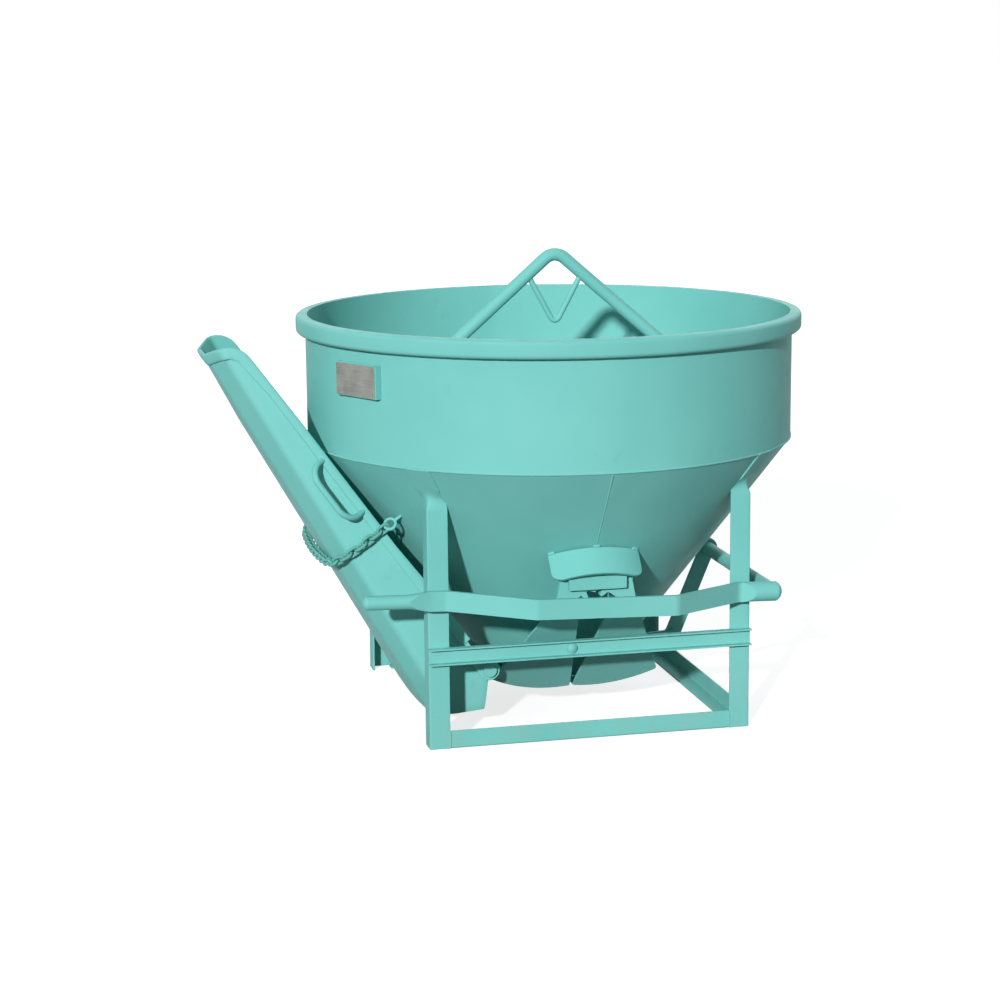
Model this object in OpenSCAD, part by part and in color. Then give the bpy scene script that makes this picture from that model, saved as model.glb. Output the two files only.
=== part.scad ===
// Crane-lifted concrete bucket with a geared clamshell gate and a swing-down side chute.
// Millimetres. +Z is up, the front is -Y, and the origin is on the ground under the hopper's axis.

/* [Hopper] */
// Outside diameter of the hopper's cylinder
shell_od = 962; // [950:1:975]
// Thickness of the rim hoop round the cylinder
rim_t = 19; // [12:0.5:26]
// Height of the rim hoop
rim_h = 35; // [25:1:50]
// Outer edge radius of the rim hoop
rim_edge_r = 8; // [4:0.5:9]
// Sheet thickness of the hopper
shell_t = 4; // [3:0.5:6]
// Height of the rim above the ground
rim_z = 790; // [760:1:860]
// Height of the cylinder above the cone
cyl_h = 247; // [220:1:290]
// Outside diameter of the cone at the outlet
outlet_d = 250; // [235:1:262]
// Height of the outlet above the ground
outlet_z = 76; // [70:1:82]

/* [Bail] */
// Diameter of the lifting bail's bar
bail_d = 25; // [20:1:32]
// Height of the bail's crown above the rim
bail_rise = 121; // [90:1:160]
// Slope of the bail's legs below the horizontal, in degrees
bail_slope = 41; // [36:0.5:46]
// Bend radius of the crown on the bar's centre line
bail_bend_r = 30; // [20:1:45]
// Sideways place of the bail from the hopper's axis
bail_shift = 14; // [0:1:25]
// Diameter of the hook keeper's bar
keeper_d = 11; // [8:0.5:14]
// Half the spread of the hook keeper at its top
keeper_half = 55; // [45:1:65]
// Depth of the keeper's point below the crown's top
keeper_drop = 158; // [140:1:180]

/* [Stand] */
// Leg corner's distance inside the hopper's wall, sideways
leg_in_x = 165; // [152:1:176]
// Leg corner's distance inside the hopper's wall, front to back
leg_in_y = 157; // [145:1:169]
// Flange width of the leg angles
leg_w = 40; // [34:1:50]
// Thickness of the leg angles
leg_t = 4; // [3:0.5:6]
// Outer corner radius of the leg angles
leg_r = 6; // [4:0.5:8]
// Flange width of the base rails
rail_w = 35; // [28:1:38]
// Thickness of the base rails
rail_t = 4; // [3:0.5:6]
// Height of the cross channels
channel_h = 32; // [26:1:40]
// Depth of the cross channels
channel_d = 15; // [12:0.5:17]
// Thickness of the cross channels
channel_t = 3; // [2:0.5:4]
// Height of the cross channels' middle above the ground
channel_z = 182; // [175:1:195]
// Diameter of the cross channels' bolts
bolt_d = 12; // [8:1:14]

/* [Gate] */
// Sideways distance of the gate pivots from the axis
pivot_x = 40; // [38:0.5:44]
// Height of the gate pivots above the ground
pivot_z = 320; // [316:1:324]
// Outside radius of the gate shells about their pivots
gate_r = 258; // [254:0.5:261]
// Thickness of the gate shells
gate_t = 5; // [4:0.5:6]
// Reach of each gate half from the axis
gate_half_w = 165; // [158:1:172]
// Slit between the two halves at the bottom
gate_slit = 8; // [2:0.5:10]
// Thickness of the gate cheeks
cheek_t = 6; // [4:0.5:8]
// Gap from the cone's outlet to the cheeks
cheek_gap = 47; // [42:1:52]
// Diameter of the pivot pins
pin_d = 24; // [20:1:28]
// Thickness of the gear sectors
gear_t = 12; // [10:0.5:14]
// Teeth that a full gear of this pitch would have
gear_teeth = 12; // [12]
// Thickness of the strap that ties the pivot pins
strap_t = 6; // [5:0.5:8]
// Width of the strap
strap_w = 34; // [33:1:40]
// Half width of the hoods over the gears
hood_half_w = 88; // [80:1:96]
// Thickness of the hoods
hood_t = 5; // [4:0.5:8]

/* [Lever] */
// Height of the lever bars
bar_h = 38; // [32:1:42]
// Thickness of the lever bars
bar_t = 8; // [6:0.5:10]
// Gap from the leg's face to the lever bar
lever_gap = 18; // [17:0.5:26]
// How far the bars bow out round the gears
bow_out = 94; // [84:1:105]
// Half length of the bowed stretch
bow_half = 135; // [125:1:145]
// Height of the lever's pivot above the ground
lever_z = 293; // [285:1:300]
// Droop of the lever with the gate shut, in degrees
lever_droop = 1.8; // [1.2:0.1:2.2]
// Diameter of the grips and of the cross tube
grip_d = 27; // [24:0.5:29]
// Reach of the grips beyond the legs
grip_reach = 126; // [110:1:140]
// Distance of the cross tube outside the legs
tube_reach = 40; // [36:0.5:46]
// Diameter of the lever's pivot pins
lever_pin_d = 16; // [12:0.5:20]
// Thickness of the link's flat bar
link_t = 8; // [6:0.5:10]
// Width of the link's flat bar
link_w = 32; // [28:1:36]
// Place of the link along the cross tube
link_y = 70; // [55:1:90]
// Distance of the link's lower pin from the axis
link_pin_x = 279; // [274:1:284]
// Height of the link's lower pin
link_pin_z = 90; // [86:1:96]
// Diameter of the link's lower pin
link_pin_d = 14; // [12:0.5:16]

/* [Chute] */
// Distance of the chute's hinge inside the hopper's wall
hinge_in = 298; // [293:0.5:301]
// Height of the chute's hinge
hinge_z = 129; // [125:0.5:134]
// Lean of the stowed chute from the horizontal, in degrees
chute_lean = 54.7; // [54:0.1:57]
// Length of the chute from its hinge to its tip
chute_len = 782; // [750:1:820]
// Width of the chute at its hinge
chute_w = 470; // [462:1:480]
// Width of the chute at its tip
tip_w = 200; // [170:1:230]
// Depth of the chute at its hinge
chute_depth = 141; // [132:1:148]
// How far the tip is raked back at the free edges
tip_rake = 24; // [0:1:40]
// Depth of the chute at its tip
tip_depth = 66; // [56:1:80]
// Sheet thickness of the chute
chute_t = 4; // [3:0.5:5]
// Corner radius at the wide end
chute_r = 50; // [40:1:60]
// Corner radius at the tip
tip_r = 56; // [44:1:60]
// Width of the strips along the chute's edges
edge_w = 14; // [10:1:20]
// Thickness of the strips along the chute's edges
edge_t = 4; // [3:0.5:6]
// Width of the band round the chute's tip
band_w = 24; // [16:1:34]
// Diameter of the chute's hinge pins
hinge_pin_d = 16; // [12:0.5:20]
// Thickness of the hinge ears and of the hangers
ear_t = 8; // [6:0.5:10]
// Diameter of the chute handle's bar
handle_d = 12; // [10:0.5:14]
// Length of the chute's handle
handle_len = 124; // [105:1:135]
// Reach of the handle from the chute's wall
handle_reach = 50; // [42:1:58]
// Distance of the handle's middle from the hinge
handle_at = 443; // [430:1:470]
// Wire diameter of the chain
chain_wire = 6; // [5:0.25:6.5]
// Inside length of a chain link
link_inside = 18.5; // [18:0.25:22]
// Outside width of a chain link
link_outside = 20; // [19:0.25:22]
// Distance of the chain from the chute's hinge
chain_at = 336; // [328:1:344]

/* [Data plate] */
// Width of the blank data plate
plate_w = 112; // [90:1:120]
// Height of the blank data plate
plate_h = 60; // [50:1:70]
// Turn of the plate round the hopper from the front, in degrees
plate_turn = 61; // [55:0.5:66]
// Height of the plate's middle
plate_z = 698; // [680:1:712]

/* [Hidden] */
$fn = 72;
paint = [0.47, 0.78, 0.74];
shade_paint = [0.40, 0.70, 0.66];
bare_steel = [0.62, 0.63, 0.64];
plate_grey = [0.66, 0.64, 0.63];

// Overrun of every cut past the faces that it goes through
overrun = 20;
// Radial running clearance of a pin in its bore
fit_gap = 0.06;
// Side clearance between turning faces
run_gap = 0.3;
// Loose clearance of the link on its lower pin
loose_gap = 1.5;
// Clearance of a welded piece on a slanting sheet
seat_gap = 0.1;

// Hopper, derived
shell_r = shell_od / 2;
rim_r = shell_r + rim_t;
knuckle_z = rim_z - cyl_h;
outlet_r = outlet_d / 2;
cone_taper_share = (shell_r - outlet_r) / (knuckle_z - outlet_z);
cone_lean = atan(cone_taper_share);
cone_wall = shell_t / cos(cone_lean);
cone_low_z = outlet_z - overrun;
function cone_r(z) = shell_r - (knuckle_z - z) * cone_taper_share;

// Stand, derived
leg_x = shell_r - leg_in_x;
leg_y = shell_r - leg_in_y;
tab_w = leg_w;
tab_low_z = knuckle_z - 2 * leg_w;
channel_face = leg_y + channel_d;
bolt_x = -leg_w;
bolt_head_r = bolt_d * 0.8;
bolt_head_t = bolt_d * 0.5;
nut_r = bolt_d * 0.9;
nut_t = bolt_d * 0.8;

// Gate, derived
pin_r = pin_d / 2;
boss_wall = 10;
boss_r = pin_r + boss_wall;
boss_len = 32;
boss_face = cone_r(pivot_z) + boss_len;
washer_t = 5;
gear_back = boss_face + washer_t + run_gap;
gear_face = gear_back + gear_t;
strap_back = gear_face + run_gap + washer_t;
strap_face = strap_back + strap_t;
pin_head_t = 2;
pin_head_rim = 4;
pin_seat = 1;
pin_head_r = pin_r + pin_head_rim;
pitch_r = pivot_x;
gear_module = 2 * pitch_r / gear_teeth;
tooth_turn = 360 / gear_teeth;
tooth_tip_r = pitch_r + 0.8 * gear_module;
tooth_root_r = pitch_r - 1.35 * gear_module;
tooth_pitch = 2 * pitch_r * PI / gear_teeth;
tooth_root_share = 0.56;
tooth_mid_share = 0.42;
tooth_tip_share = 0.20;
gate_inner_r = gate_r - gate_t;
outlet_gap = 3;
cheek_foot_y = outlet_r + cheek_gap;
cheek_top_z = pivot_z - 1.3 * pitch_r;
cheek_run_share = (gear_back - cheek_foot_y) / (cheek_top_z - outlet_z);
cheek_wall = cheek_t / cos(atan(cheek_run_share));
arm_low_z = cheek_top_z - 1.5 * cheek_wall / cheek_run_share;
arm_in_x = pitch_r * 0.62;
arm_out_x = pivot_x + pitch_r * 1.05;
gate_floor_z = pivot_z - gate_r - overrun;
cheek_low_z = pivot_z - sqrt(gate_r * gate_r - pow(gate_half_w - pivot_x, 2));
function cheek_y(z) = cheek_foot_y + (z - outlet_z) * cheek_run_share;
hood_r = 150;
hood_slope = 50;
hood_overhang = 24;
hood_lift = 20;
hood_front_y = strap_face + pin_head_t + hood_overhang;
hood_front_z = pivot_z + hood_lift;
hood_len = hood_half_w;

// Lever, derived
lever_x = -leg_x + leg_w / 2;
lever_pin_r = lever_pin_d / 2;
bar_y = leg_y + lever_gap + bar_t / 2;
bow_y = bar_y + bow_out;
bend_x = leg_x - leg_w * 0.8;
grip_r = grip_d / 2;
tube_x = leg_x + tube_reach;
flare_len = leg_w;
tube_wall = 3;
end_flare_len = leg_w * 0.6;
lever_bend_r = leg_w / 2;
bend_count = 6;
shoulder_step = 6;
shoulder_r = lever_pin_r + shoulder_step;
collar_t = 6;
tube_rest_x = lever_x + (tube_x - lever_x) * cos(lever_droop);
tube_rest_z = lever_z - (tube_x - lever_x) * sin(lever_droop);
link_len = norm([tube_rest_x - link_pin_x, tube_rest_z - link_pin_z]);
link_turn = atan2(link_pin_z - tube_rest_z, link_pin_x - tube_rest_x);
link_eye_wall = 8;
link_eye_r = grip_r + link_eye_wall;
link_pin_r = link_pin_d / 2;
lug_t = link_t;
lug_eye_r = link_pin_r + link_eye_wall;
link_head_rim = 4;
lug_in_turn = atan2(gate_half_w - pivot_x, pivot_z - cheek_low_z);

// Chute, derived
hinge_x = shell_r - hinge_in;
// Height of the cone above a place in the plane of the stowed chute's edges
function cone_above(x, y) =
    let (
        across = -hinge_x + x * cos(chute_lean),
        cone_here = cone_r(hinge_z - x * sin(chute_lean)),
        opens = cone_taper_share * cos(chute_lean),
        a = pow(sin(chute_lean), 2) - opens * opens,
        b = across * sin(chute_lean) - cone_here * opens
    )
    (-b - sqrt(b * b - a * (across * across + y * y - cone_here * cone_here))) / a;
chute_taper_at = -0.08 * chute_len;
tail_share = 0.08;
function chute_half(x) = x > chute_taper_at ? chute_w / 2
    : chute_w / 2 - (chute_w - tip_w) / 2 * (chute_taper_at - x) / (chute_len + chute_taper_at);
function chute_deep(x) = chute_depth - (chute_depth - tip_depth) * max(0, -x) / chute_len;
function chute_corner(x) = chute_r - (chute_r - tip_r) * max(0, -x) / chute_len;
function tip_x(z) = -chute_len + tip_rake * (1 + z / tip_depth);
wall_turn = atan2((chute_w - tip_w) / 2, chute_len + chute_taper_at);
tail_x = tail_share * chute_len;
ear_r = hinge_pin_d * 1.3;
ear_drop = chute_depth * 0.5;
ear_face = chute_w / 2 + ear_t;
hanger_back = ear_face + run_gap;
hanger_face = hanger_back + ear_t;
hinge_pin_r = hinge_pin_d / 2;
hinge_nut_t = ear_t;
hinge_nut_rim = 5;
handle_r = handle_d / 2;
handle_bend_r = 2.8 * handle_d;
handle_tilt = 46;
link_wire_r = chain_wire / 2;
link_bend_r = (link_outside - chain_wire) / 2;
link_slack = 0.8;
link_step = link_inside - link_slack;
link_straight = link_inside - 2 * (link_bend_r - link_wire_r);
chain_lift = link_bend_r * sin(45) + link_wire_r + link_outside / 2 * tan(wall_turn) + run_gap;
chain_half = chute_half(-chain_at) + edge_t + chain_lift;
chain_deep = chute_deep(-chain_at) + chain_lift;
chain_corner = chute_corner(-chain_at) + chain_lift;
eye_r = link_outside * 0.55;
eye_wire_r = chain_wire * 0.5;
eye_drop = link_inside / 2 - eye_wire_r - link_slack;
eye_clear = 4;
chain_rise = cone_above(-chain_at, chain_half) - eye_clear
    - eye_drop - 2 * eye_r - eye_wire_r + link_step / 2;
tail_links = 2;
run_down = chain_rise + chain_deep - chain_corner;
run_bend = chain_corner * PI / 2;
run_under = 2 * (chain_half - chain_corner);
chain_len = 2 * run_down + 2 * run_bend + run_under;
chain_links = floor(chain_len / link_step);
chain_start = (chain_len - (chain_links - 1) * link_step) / 2;

// Data plate, derived
holder_edge = 3;
holder_w = plate_w + 2 * holder_edge;
holder_h = plate_h + holder_edge;
holder_t = 3;
holder_gap = 7;
plate_t = 1.5;
rivet_r = 2.5;
rivet_inset = 7;

// Shared shapes

// Solid space inside the outer skin of the hopper
module hopper_solid() {
    translate([0, 0, cone_low_z])
        cylinder(h = knuckle_z - cone_low_z, r1 = cone_r(cone_low_z), r2 = shell_r);
    translate([0, 0, knuckle_z]) cylinder(h = cyl_h, r = shell_r);
}

// Solid space inside the hopper's sheet, carried on up over the bail
module hopper_inside() {
    translate([0, 0, cone_low_z])
        cylinder(
            h = knuckle_z - cone_low_z,
            r1 = cone_r(cone_low_z) - cone_wall, r2 = shell_r - cone_wall
        );
    translate([0, 0, knuckle_z]) cylinder(h = cyl_h + bail_rise + overrun, r = shell_r - cone_wall);
}

// Round bar between two points of the plane y = 0
module bar_xz(from, to, r) {
    run = to - from;
    translate([from[0], 0, from[1]])
        rotate([0, atan2(run[0], run[1]), 0])
            cylinder(h = norm(run), r = r);
}

// Cylinder along Y between two distances from the mid plane, on the front for side -1
module rod_y(side, near, far, r) {
    rotate([side * -90, 0, 0])
        translate([0, 0, near])
            cylinder(h = far - near, r = r);
}

// Plate with its outline in the X-Z plane, between two distances from the mid plane
module plate_y(side, near, far) {
    translate([0, side > 0 ? far : -near, 0])
        rotate([90, 0, 0])
            linear_extrude(height = far - near)
                children();
}

// Angle section with its corner at the origin
module angle_2d(w, t, r) {
    difference() {
        union() {
            translate([r, 0]) square([w - r, w]);
            translate([0, r]) square([w, w - r]);
            translate([r, r]) circle(r);
        }
        translate([t, t]) square([w, w]);
    }
}

// Hopper

module hopper_cylinder() {
    color(paint)
        translate([0, 0, knuckle_z])
            difference() {
                cylinder(h = cyl_h, r = shell_r);
                translate([0, 0, -overrun]) cylinder(h = cyl_h + 2 * overrun, r = shell_r - shell_t);
            }
}

// Space under one gate half, outside the arc on which the outlet's edge is cut
module under_gate(side) {
    intersection() {
        translate([side > 0 ? 0 : -gate_half_w, -gate_half_w, cone_low_z - overrun])
            cube([gate_half_w, 2 * gate_half_w, pivot_z - cone_low_z]);
        difference() {
            translate([side * pivot_x, 0, pivot_z])
                rotate([90, 0, 0])
                    cylinder(h = 2 * gate_half_w, r = gate_r + 2 * overrun, center = true);
            translate([side * pivot_x, 0, pivot_z])
                rotate([90, 0, 0])
                    cylinder(h = 3 * gate_half_w, r = gate_inner_r - outlet_gap, center = true);
        }
    }
}

module hopper_cone() {
    color(paint)
        difference() {
            translate([0, 0, cone_low_z])
                cylinder(h = knuckle_z - cone_low_z, r1 = cone_r(cone_low_z), r2 = shell_r);
            translate([0, 0, cone_low_z - overrun])
                cylinder(
                    h = knuckle_z - cone_low_z + 2 * overrun,
                    r1 = cone_r(cone_low_z - overrun) - cone_wall,
                    r2 = cone_r(knuckle_z + overrun) - cone_wall
                );
            under_gate(-1);
            under_gate(1);
        }
}

module rim_hoop() {
    color(paint)
        translate([0, 0, rim_z - rim_h])
            rotate_extrude()
                translate([shell_r, 0]) {
                    square([rim_t - rim_edge_r, rim_h]);
                    translate([0, rim_edge_r]) square([rim_t, rim_h - 2 * rim_edge_r]);
                    for (z = [rim_edge_r, rim_h - rim_edge_r])
                        translate([rim_t - rim_edge_r, z]) circle(rim_edge_r);
                }
}

// Bail

bail_r = bail_d / 2;
bail_top_z = rim_z + bail_rise;
bend_z = bail_top_z - bail_r - bail_bend_r;
bail_leg_len = shell_r / cos(bail_slope);
corner_share = 0.2;

module bail_legs() {
    for (side = [-1, 1])
        bar_xz(
            [side * bail_bend_r * sin(bail_slope), bend_z + bail_bend_r * cos(bail_slope)],
            [
                side * (bail_bend_r * sin(bail_slope) + bail_leg_len * cos(bail_slope)),
                bend_z + bail_bend_r * cos(bail_slope) - bail_leg_len * sin(bail_slope)
            ],
            bail_r
        );
}

module lifting_bail() {
    color(paint)
        intersection() {
            translate([bail_shift, 0, 0]) {
                bail_legs();
                translate([0, 0, bend_z])
                    rotate([90, 0, 0])
                        rotate([0, 0, 90 - bail_slope])
                            rotate_extrude(angle = 2 * bail_slope)
                                translate([bail_bend_r, 0]) circle(bail_r);
            }
            hopper_inside();
        }
}

module hook_keeper() {
    keeper_r = keeper_d / 2;
    keeper_z = bail_top_z - keeper_drop + keeper_r;
    top_z = bend_z + bail_bend_r * cos(bail_slope)
        - (keeper_half - bail_bend_r * sin(bail_slope)) * tan(bail_slope);
    rise = [keeper_half, top_z - keeper_z];
    color(paint)
        translate([bail_shift, 0, 0])
            difference() {
                for (side = [0, 1])
                    mirror([side, 0, 0])
                        intersection() {
                            bar_xz([0, keeper_z] - rise * corner_share, [keeper_half, top_z], keeper_r);
                            translate([0, -keeper_d, keeper_z - keeper_half])
                                cube([2 * keeper_half, 2 * keeper_d, 4 * keeper_half]);
                        }
                bail_legs();
            }
}

// Stand

// One leg: an angle trimmed on the cone, with a tab laid up the cone to its top edge
module leg(side_x, side_y) {
    bore_z = lever_z;
    tab_mid_z = (tab_low_z + knuckle_z) / 2;
    tab_len = (knuckle_z - tab_low_z) / cos(cone_lean);
    difference() {
        union() {
            translate([side_x * leg_x, side_y * leg_y, 0])
                mirror([side_x > 0 ? 1 : 0, 0, 0])
                    mirror([0, side_y > 0 ? 1 : 0, 0])
                        linear_extrude(height = knuckle_z)
                            angle_2d(leg_w, leg_t, leg_r);
            rotate([0, 0, atan2(side_y * leg_y, side_x * leg_x)])
                translate([cone_r(tab_mid_z), 0, tab_mid_z])
                    rotate([0, cone_lean, 0])
                        translate([-leg_t / 2, -tab_w / 2, -tab_len / 2])
                            cube([leg_t * 1.5, tab_w, tab_len]);
        }
        hopper_solid();
        if (side_x < 0)
            translate([lever_x, 0, bore_z])
                rod_y(side_y, leg_y - leg_w, leg_y + overrun, lever_pin_r + fit_gap);
    }
}

module leg_front_left() { color(paint) leg(-1, -1); }
module leg_front_right() { color(paint) leg(1, -1); }
module leg_rear_left() { color(paint) leg(-1, 1); }
module leg_rear_right() { color(paint) leg(1, 1); }

// Base rail along X on one side, between the flanges of two legs
module rail_x(side) {
    half = leg_x - leg_w;
    translate([0, side * leg_y, 0])
        mirror([0, side > 0 ? 1 : 0, 0])
            translate([-half, 0, 0])
                rotate([90, 0, 90])
                    linear_extrude(height = 2 * half)
                        angle_2d(rail_w, rail_t, rail_t);
}

module base_rail_front() { color(paint) rail_x(-1); }
module base_rail_rear() { color(paint) rail_x(1); }

module base_rail_right() {
    half = leg_y - leg_w;
    color(paint)
        translate([leg_x, half, 0])
            mirror([1, 0, 0])
                rotate([90, 0, 0])
                    linear_extrude(height = 2 * half)
                        angle_2d(rail_w, rail_t, rail_t);
}

// Cross channel over the legs' faces, open side outwards
module channel(side) {
    difference() {
        translate([-leg_x, side > 0 ? leg_y : -channel_face, channel_z - channel_h / 2])
            cube([2 * leg_x, channel_d, channel_h]);
        translate([
            -leg_x - overrun,
            side > 0 ? leg_y + channel_t : -channel_face - overrun,
            channel_z - channel_h / 2 + channel_t
        ])
            cube([2 * leg_x + 2 * overrun, channel_d - channel_t + overrun, channel_h - 2 * channel_t]);
        translate([bolt_x, 0, channel_z])
            rod_y(side, leg_y - overrun, channel_face, bolt_d / 2 + fit_gap);
    }
}

module channel_front() { color(paint) channel(-1); }
module channel_rear() { color(paint) channel(1); }

// Round-headed bolts through the channels' webs
module channel_bolts() {
    web_face = leg_y + channel_t;
    color(bare_steel)
        for (side = [-1, 1])
            translate([bolt_x, 0, channel_z]) {
                rod_y(side, leg_y - nut_t - bolt_d / 2, web_face, bolt_d / 2);
                rod_y(side, web_face, web_face + bolt_head_t, bolt_head_r);
            }
}

module channel_nuts() {
    color(bare_steel)
        for (side = [-1, 1])
            translate([bolt_x, 0, channel_z])
                difference() {
                    rotate([side * -90, 0, 0])
                        translate([0, 0, leg_y - nut_t])
                            cylinder(h = nut_t, r = nut_r, $fn = 6);
                    rod_y(side, leg_y - nut_t - overrun, leg_y + overrun, bolt_d / 2 + fit_gap);
                }
}

// Gate pivots

module pivot_bosses() {
    color(paint)
        for (side = [-1, 1], half = [-1, 1])
            difference() {
                translate([half * pivot_x, 0, pivot_z]) rod_y(side, outlet_r, boss_face, boss_r);
                hopper_solid();
                translate([half * pivot_x, 0, pivot_z])
                    rod_y(side, outlet_r - overrun, boss_face + overrun, pin_r + fit_gap);
            }
}

module pivot_pins() {
    color(bare_steel)
        for (side = [-1, 1], half = [-1, 1])
            difference() {
                translate([half * pivot_x, 0, pivot_z]) {
                    rod_y(side, outlet_r, strap_face, pin_r);
                    rod_y(side, strap_face, strap_face + pin_head_t, pin_r + fit_gap + pin_seat);
                }
                hopper_solid();
            }
}

module thrust_washers() {
    color(bare_steel)
        for (side = [-1, 1], half = [-1, 1], near = [boss_face, gear_face + run_gap])
            translate([half * pivot_x, 0, pivot_z])
                difference() {
                    rod_y(side, near, near + washer_t, pin_head_r);
                    rod_y(side, near - overrun, near + washer_t + overrun, pin_r + fit_gap);
                }
}

module pin_strap(side) {
    difference() {
        translate([0, 0, pivot_z])
            plate_y(side, strap_back, strap_face) {
                square([2 * (pivot_x + pin_head_r), strap_w], center = true);
            }
        for (half = [-1, 1])
            translate([half * pivot_x, 0, pivot_z])
                rod_y(side, strap_back - overrun, strap_face + overrun, pin_r + fit_gap);
    }
}

module pin_strap_front() { color(paint) pin_strap(-1); }
module pin_strap_rear() { color(paint) pin_strap(1); }

// Arched cover that slopes from the cone out over the gears
module gear_hood_front() {
    color(paint)
        difference() {
            translate([0, -hood_front_y, hood_front_z])
                rotate([hood_slope - 90, 0, 0])
                    linear_extrude(height = hood_len)
                        intersection() {
                            translate([0, hood_r])
                                difference() {
                                    circle(hood_r);
                                    circle(hood_r - hood_t);
                                }
                            translate([-hood_half_w, -overrun]) square([2 * hood_half_w, hood_r]);
                        }
            hopper_solid();
        }
}

module gear_hood_rear() { mirror([0, 1, 0]) gear_hood_front(); }

// Gate halves, written for the left half and mirrored for the right one

// Prism along X whose two slanting faces are the cheeks' faces, moved out by a distance
module cheek_prism(grow) {
    low = gate_floor_z;
    high = cheek_top_z + overrun;
    translate([-gate_half_w - overrun, 0, 0])
        rotate([90, 0, 90])
            linear_extrude(height = gate_half_w + overrun)
                polygon([
                    [-cheek_y(low) - grow, low], [cheek_y(low) + grow, low],
                    [cheek_y(high) + grow, high], [-cheek_y(high) - grow, high]
                ]);
}

module gate_shell() {
    intersection() {
        difference() {
            translate([-pivot_x, 0, pivot_z])
                rotate([90, 0, 0])
                    difference() {
                        cylinder(h = 3 * gate_half_w, r = gate_r, center = true);
                        cylinder(h = 4 * gate_half_w, r = gate_inner_r, center = true);
                    }
        }
        translate([-gate_half_w, -2 * gate_half_w, gate_floor_z])
            cube([gate_half_w - gate_slit / 2, 4 * gate_half_w, cheek_top_z - gate_floor_z - pitch_r]);
        cheek_prism(cheek_wall);
    }
}

// Outline of a cheek seen from the front
module cheek_2d() {
    waist_z = cheek_top_z - pitch_r;
    polygon([
        [-gate_slit / 2, gate_floor_z], [-gate_slit / 2, outlet_z], [-arm_in_x, waist_z],
        [-arm_in_x, cheek_top_z + overrun], [-arm_out_x, cheek_top_z + overrun],
        [-arm_out_x, cheek_top_z], [-gate_half_w, cheek_low_z + gate_t],
        [-gate_half_w, gate_floor_z]
    ]);
}

module gate_cheek(side) {
    intersection() {
        difference() {
            cheek_prism(cheek_wall);
            cheek_prism(0);
        }
        plate_y(side, 0, gear_back) cheek_2d();
        translate([-pivot_x, 0, pivot_z])
            rotate([90, 0, 0])
                cylinder(h = 3 * gear_back, r = gate_inner_r, center = true);
    }
}

// One gear tooth pointing along +X, cut square at its root
module tooth_2d() {
    root = tooth_pitch * tooth_root_share / 2;
    mid = tooth_pitch * tooth_mid_share / 2;
    tip = tooth_pitch * tooth_tip_share / 2;
    polygon([
        [tooth_root_r * 0.8, -root], [tooth_root_r, -root], [pitch_r, -mid], [tooth_tip_r, -tip],
        [tooth_tip_r, tip], [pitch_r, mid], [tooth_root_r, root], [tooth_root_r * 0.8, root]
    ]);
}

// Gear sector with its arm, on the pivot of the left half; turns gives the teeth's places
module gear_sector(side, turns) {
    difference() {
        plate_y(side, gear_back, gear_face) {
            translate([-pivot_x, pivot_z]) {
                circle(tooth_root_r);
                for (turn = turns) rotate(turn) tooth_2d();
            }
            polygon([
                [-arm_in_x, pivot_z - tooth_root_r * 0.6], [-arm_in_x, arm_low_z],
                [-arm_out_x, arm_low_z], [-pivot_x - tooth_root_r * 0.98, pivot_z]
            ]);
        }
        translate([-pivot_x, 0, pivot_z])
            rod_y(side, gear_back - overrun, gear_face + overrun, pin_r + fit_gap);
    }
}

left_turns = [-tooth_turn * 2, -tooth_turn, 0, tooth_turn];
right_turns = [-tooth_turn * 3 / 2, -tooth_turn / 2, tooth_turn / 2, tooth_turn * 3 / 2];

module gate_left_shell() { color(shade_paint) gate_shell(); }
module gate_left_cheek_front() { color(shade_paint) gate_cheek(-1); }
module gate_left_cheek_rear() { color(shade_paint) gate_cheek(1); }
module gear_left_front() { color(paint) gear_sector(-1, left_turns); }
module gear_left_rear() { color(paint) gear_sector(1, left_turns); }
module gate_right_shell() { color(shade_paint) mirror([1, 0, 0]) gate_shell(); }
module gate_right_cheek_front() { color(shade_paint) mirror([1, 0, 0]) gate_cheek(-1); }
module gate_right_cheek_rear() { color(shade_paint) mirror([1, 0, 0]) gate_cheek(1); }
module gear_right_front() { color(paint) mirror([1, 0, 0]) gear_sector(-1, right_turns); }
module gear_right_rear() { color(paint) mirror([1, 0, 0]) gear_sector(1, right_turns); }

// Two lugs on the right gate half that hold the link's lower pin
module link_lugs() {
    eye = lug_eye_r;
    foot_r = gate_r + run_gap / 3;
    low_turn = -90 + lug_in_turn * 0.45;
    high_turn = -90 + lug_in_turn * 0.97;
    arm = [link_pin_x - pivot_x, link_pin_z - pivot_z];
    across = [-arm[1], arm[0]] / norm(arm) * eye;
    color(shade_paint)
        for (near = [link_y - link_t / 2 - run_gap - lug_t, link_y + link_t / 2 + run_gap])
            difference() {
                translate([pivot_x, 0, pivot_z])
                    plate_y(1, near, near + lug_t) {
                        polygon([
                            foot_r * [cos(low_turn), sin(low_turn)], arm - across,
                            arm + across, foot_r * [cos(high_turn), sin(high_turn)]
                        ]);
                        translate(arm) circle(eye);
                    }
                translate([pivot_x, 0, pivot_z])
                    rotate([90, 0, 0])
                        cylinder(h = 4 * gate_half_w, r = gate_r, center = true);
                translate([link_pin_x, 0, link_pin_z])
                    rod_y(1, near - overrun, near + lug_t + overrun, link_pin_r + fit_gap);
            }
}

module link_pin() {
    near = link_y - link_t / 2 - run_gap - lug_t;
    far = link_y + link_t / 2 + run_gap + lug_t;
    head_t = link_pin_r;
    color(bare_steel)
        translate([link_pin_x, 0, link_pin_z]) {
            rod_y(1, near, far, link_pin_r);
            rod_y(1, near - head_t, near, link_pin_r + link_head_rim);
            rod_y(1, far, far + head_t, link_pin_r + link_head_rim);
        }
}

// Lever

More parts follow.
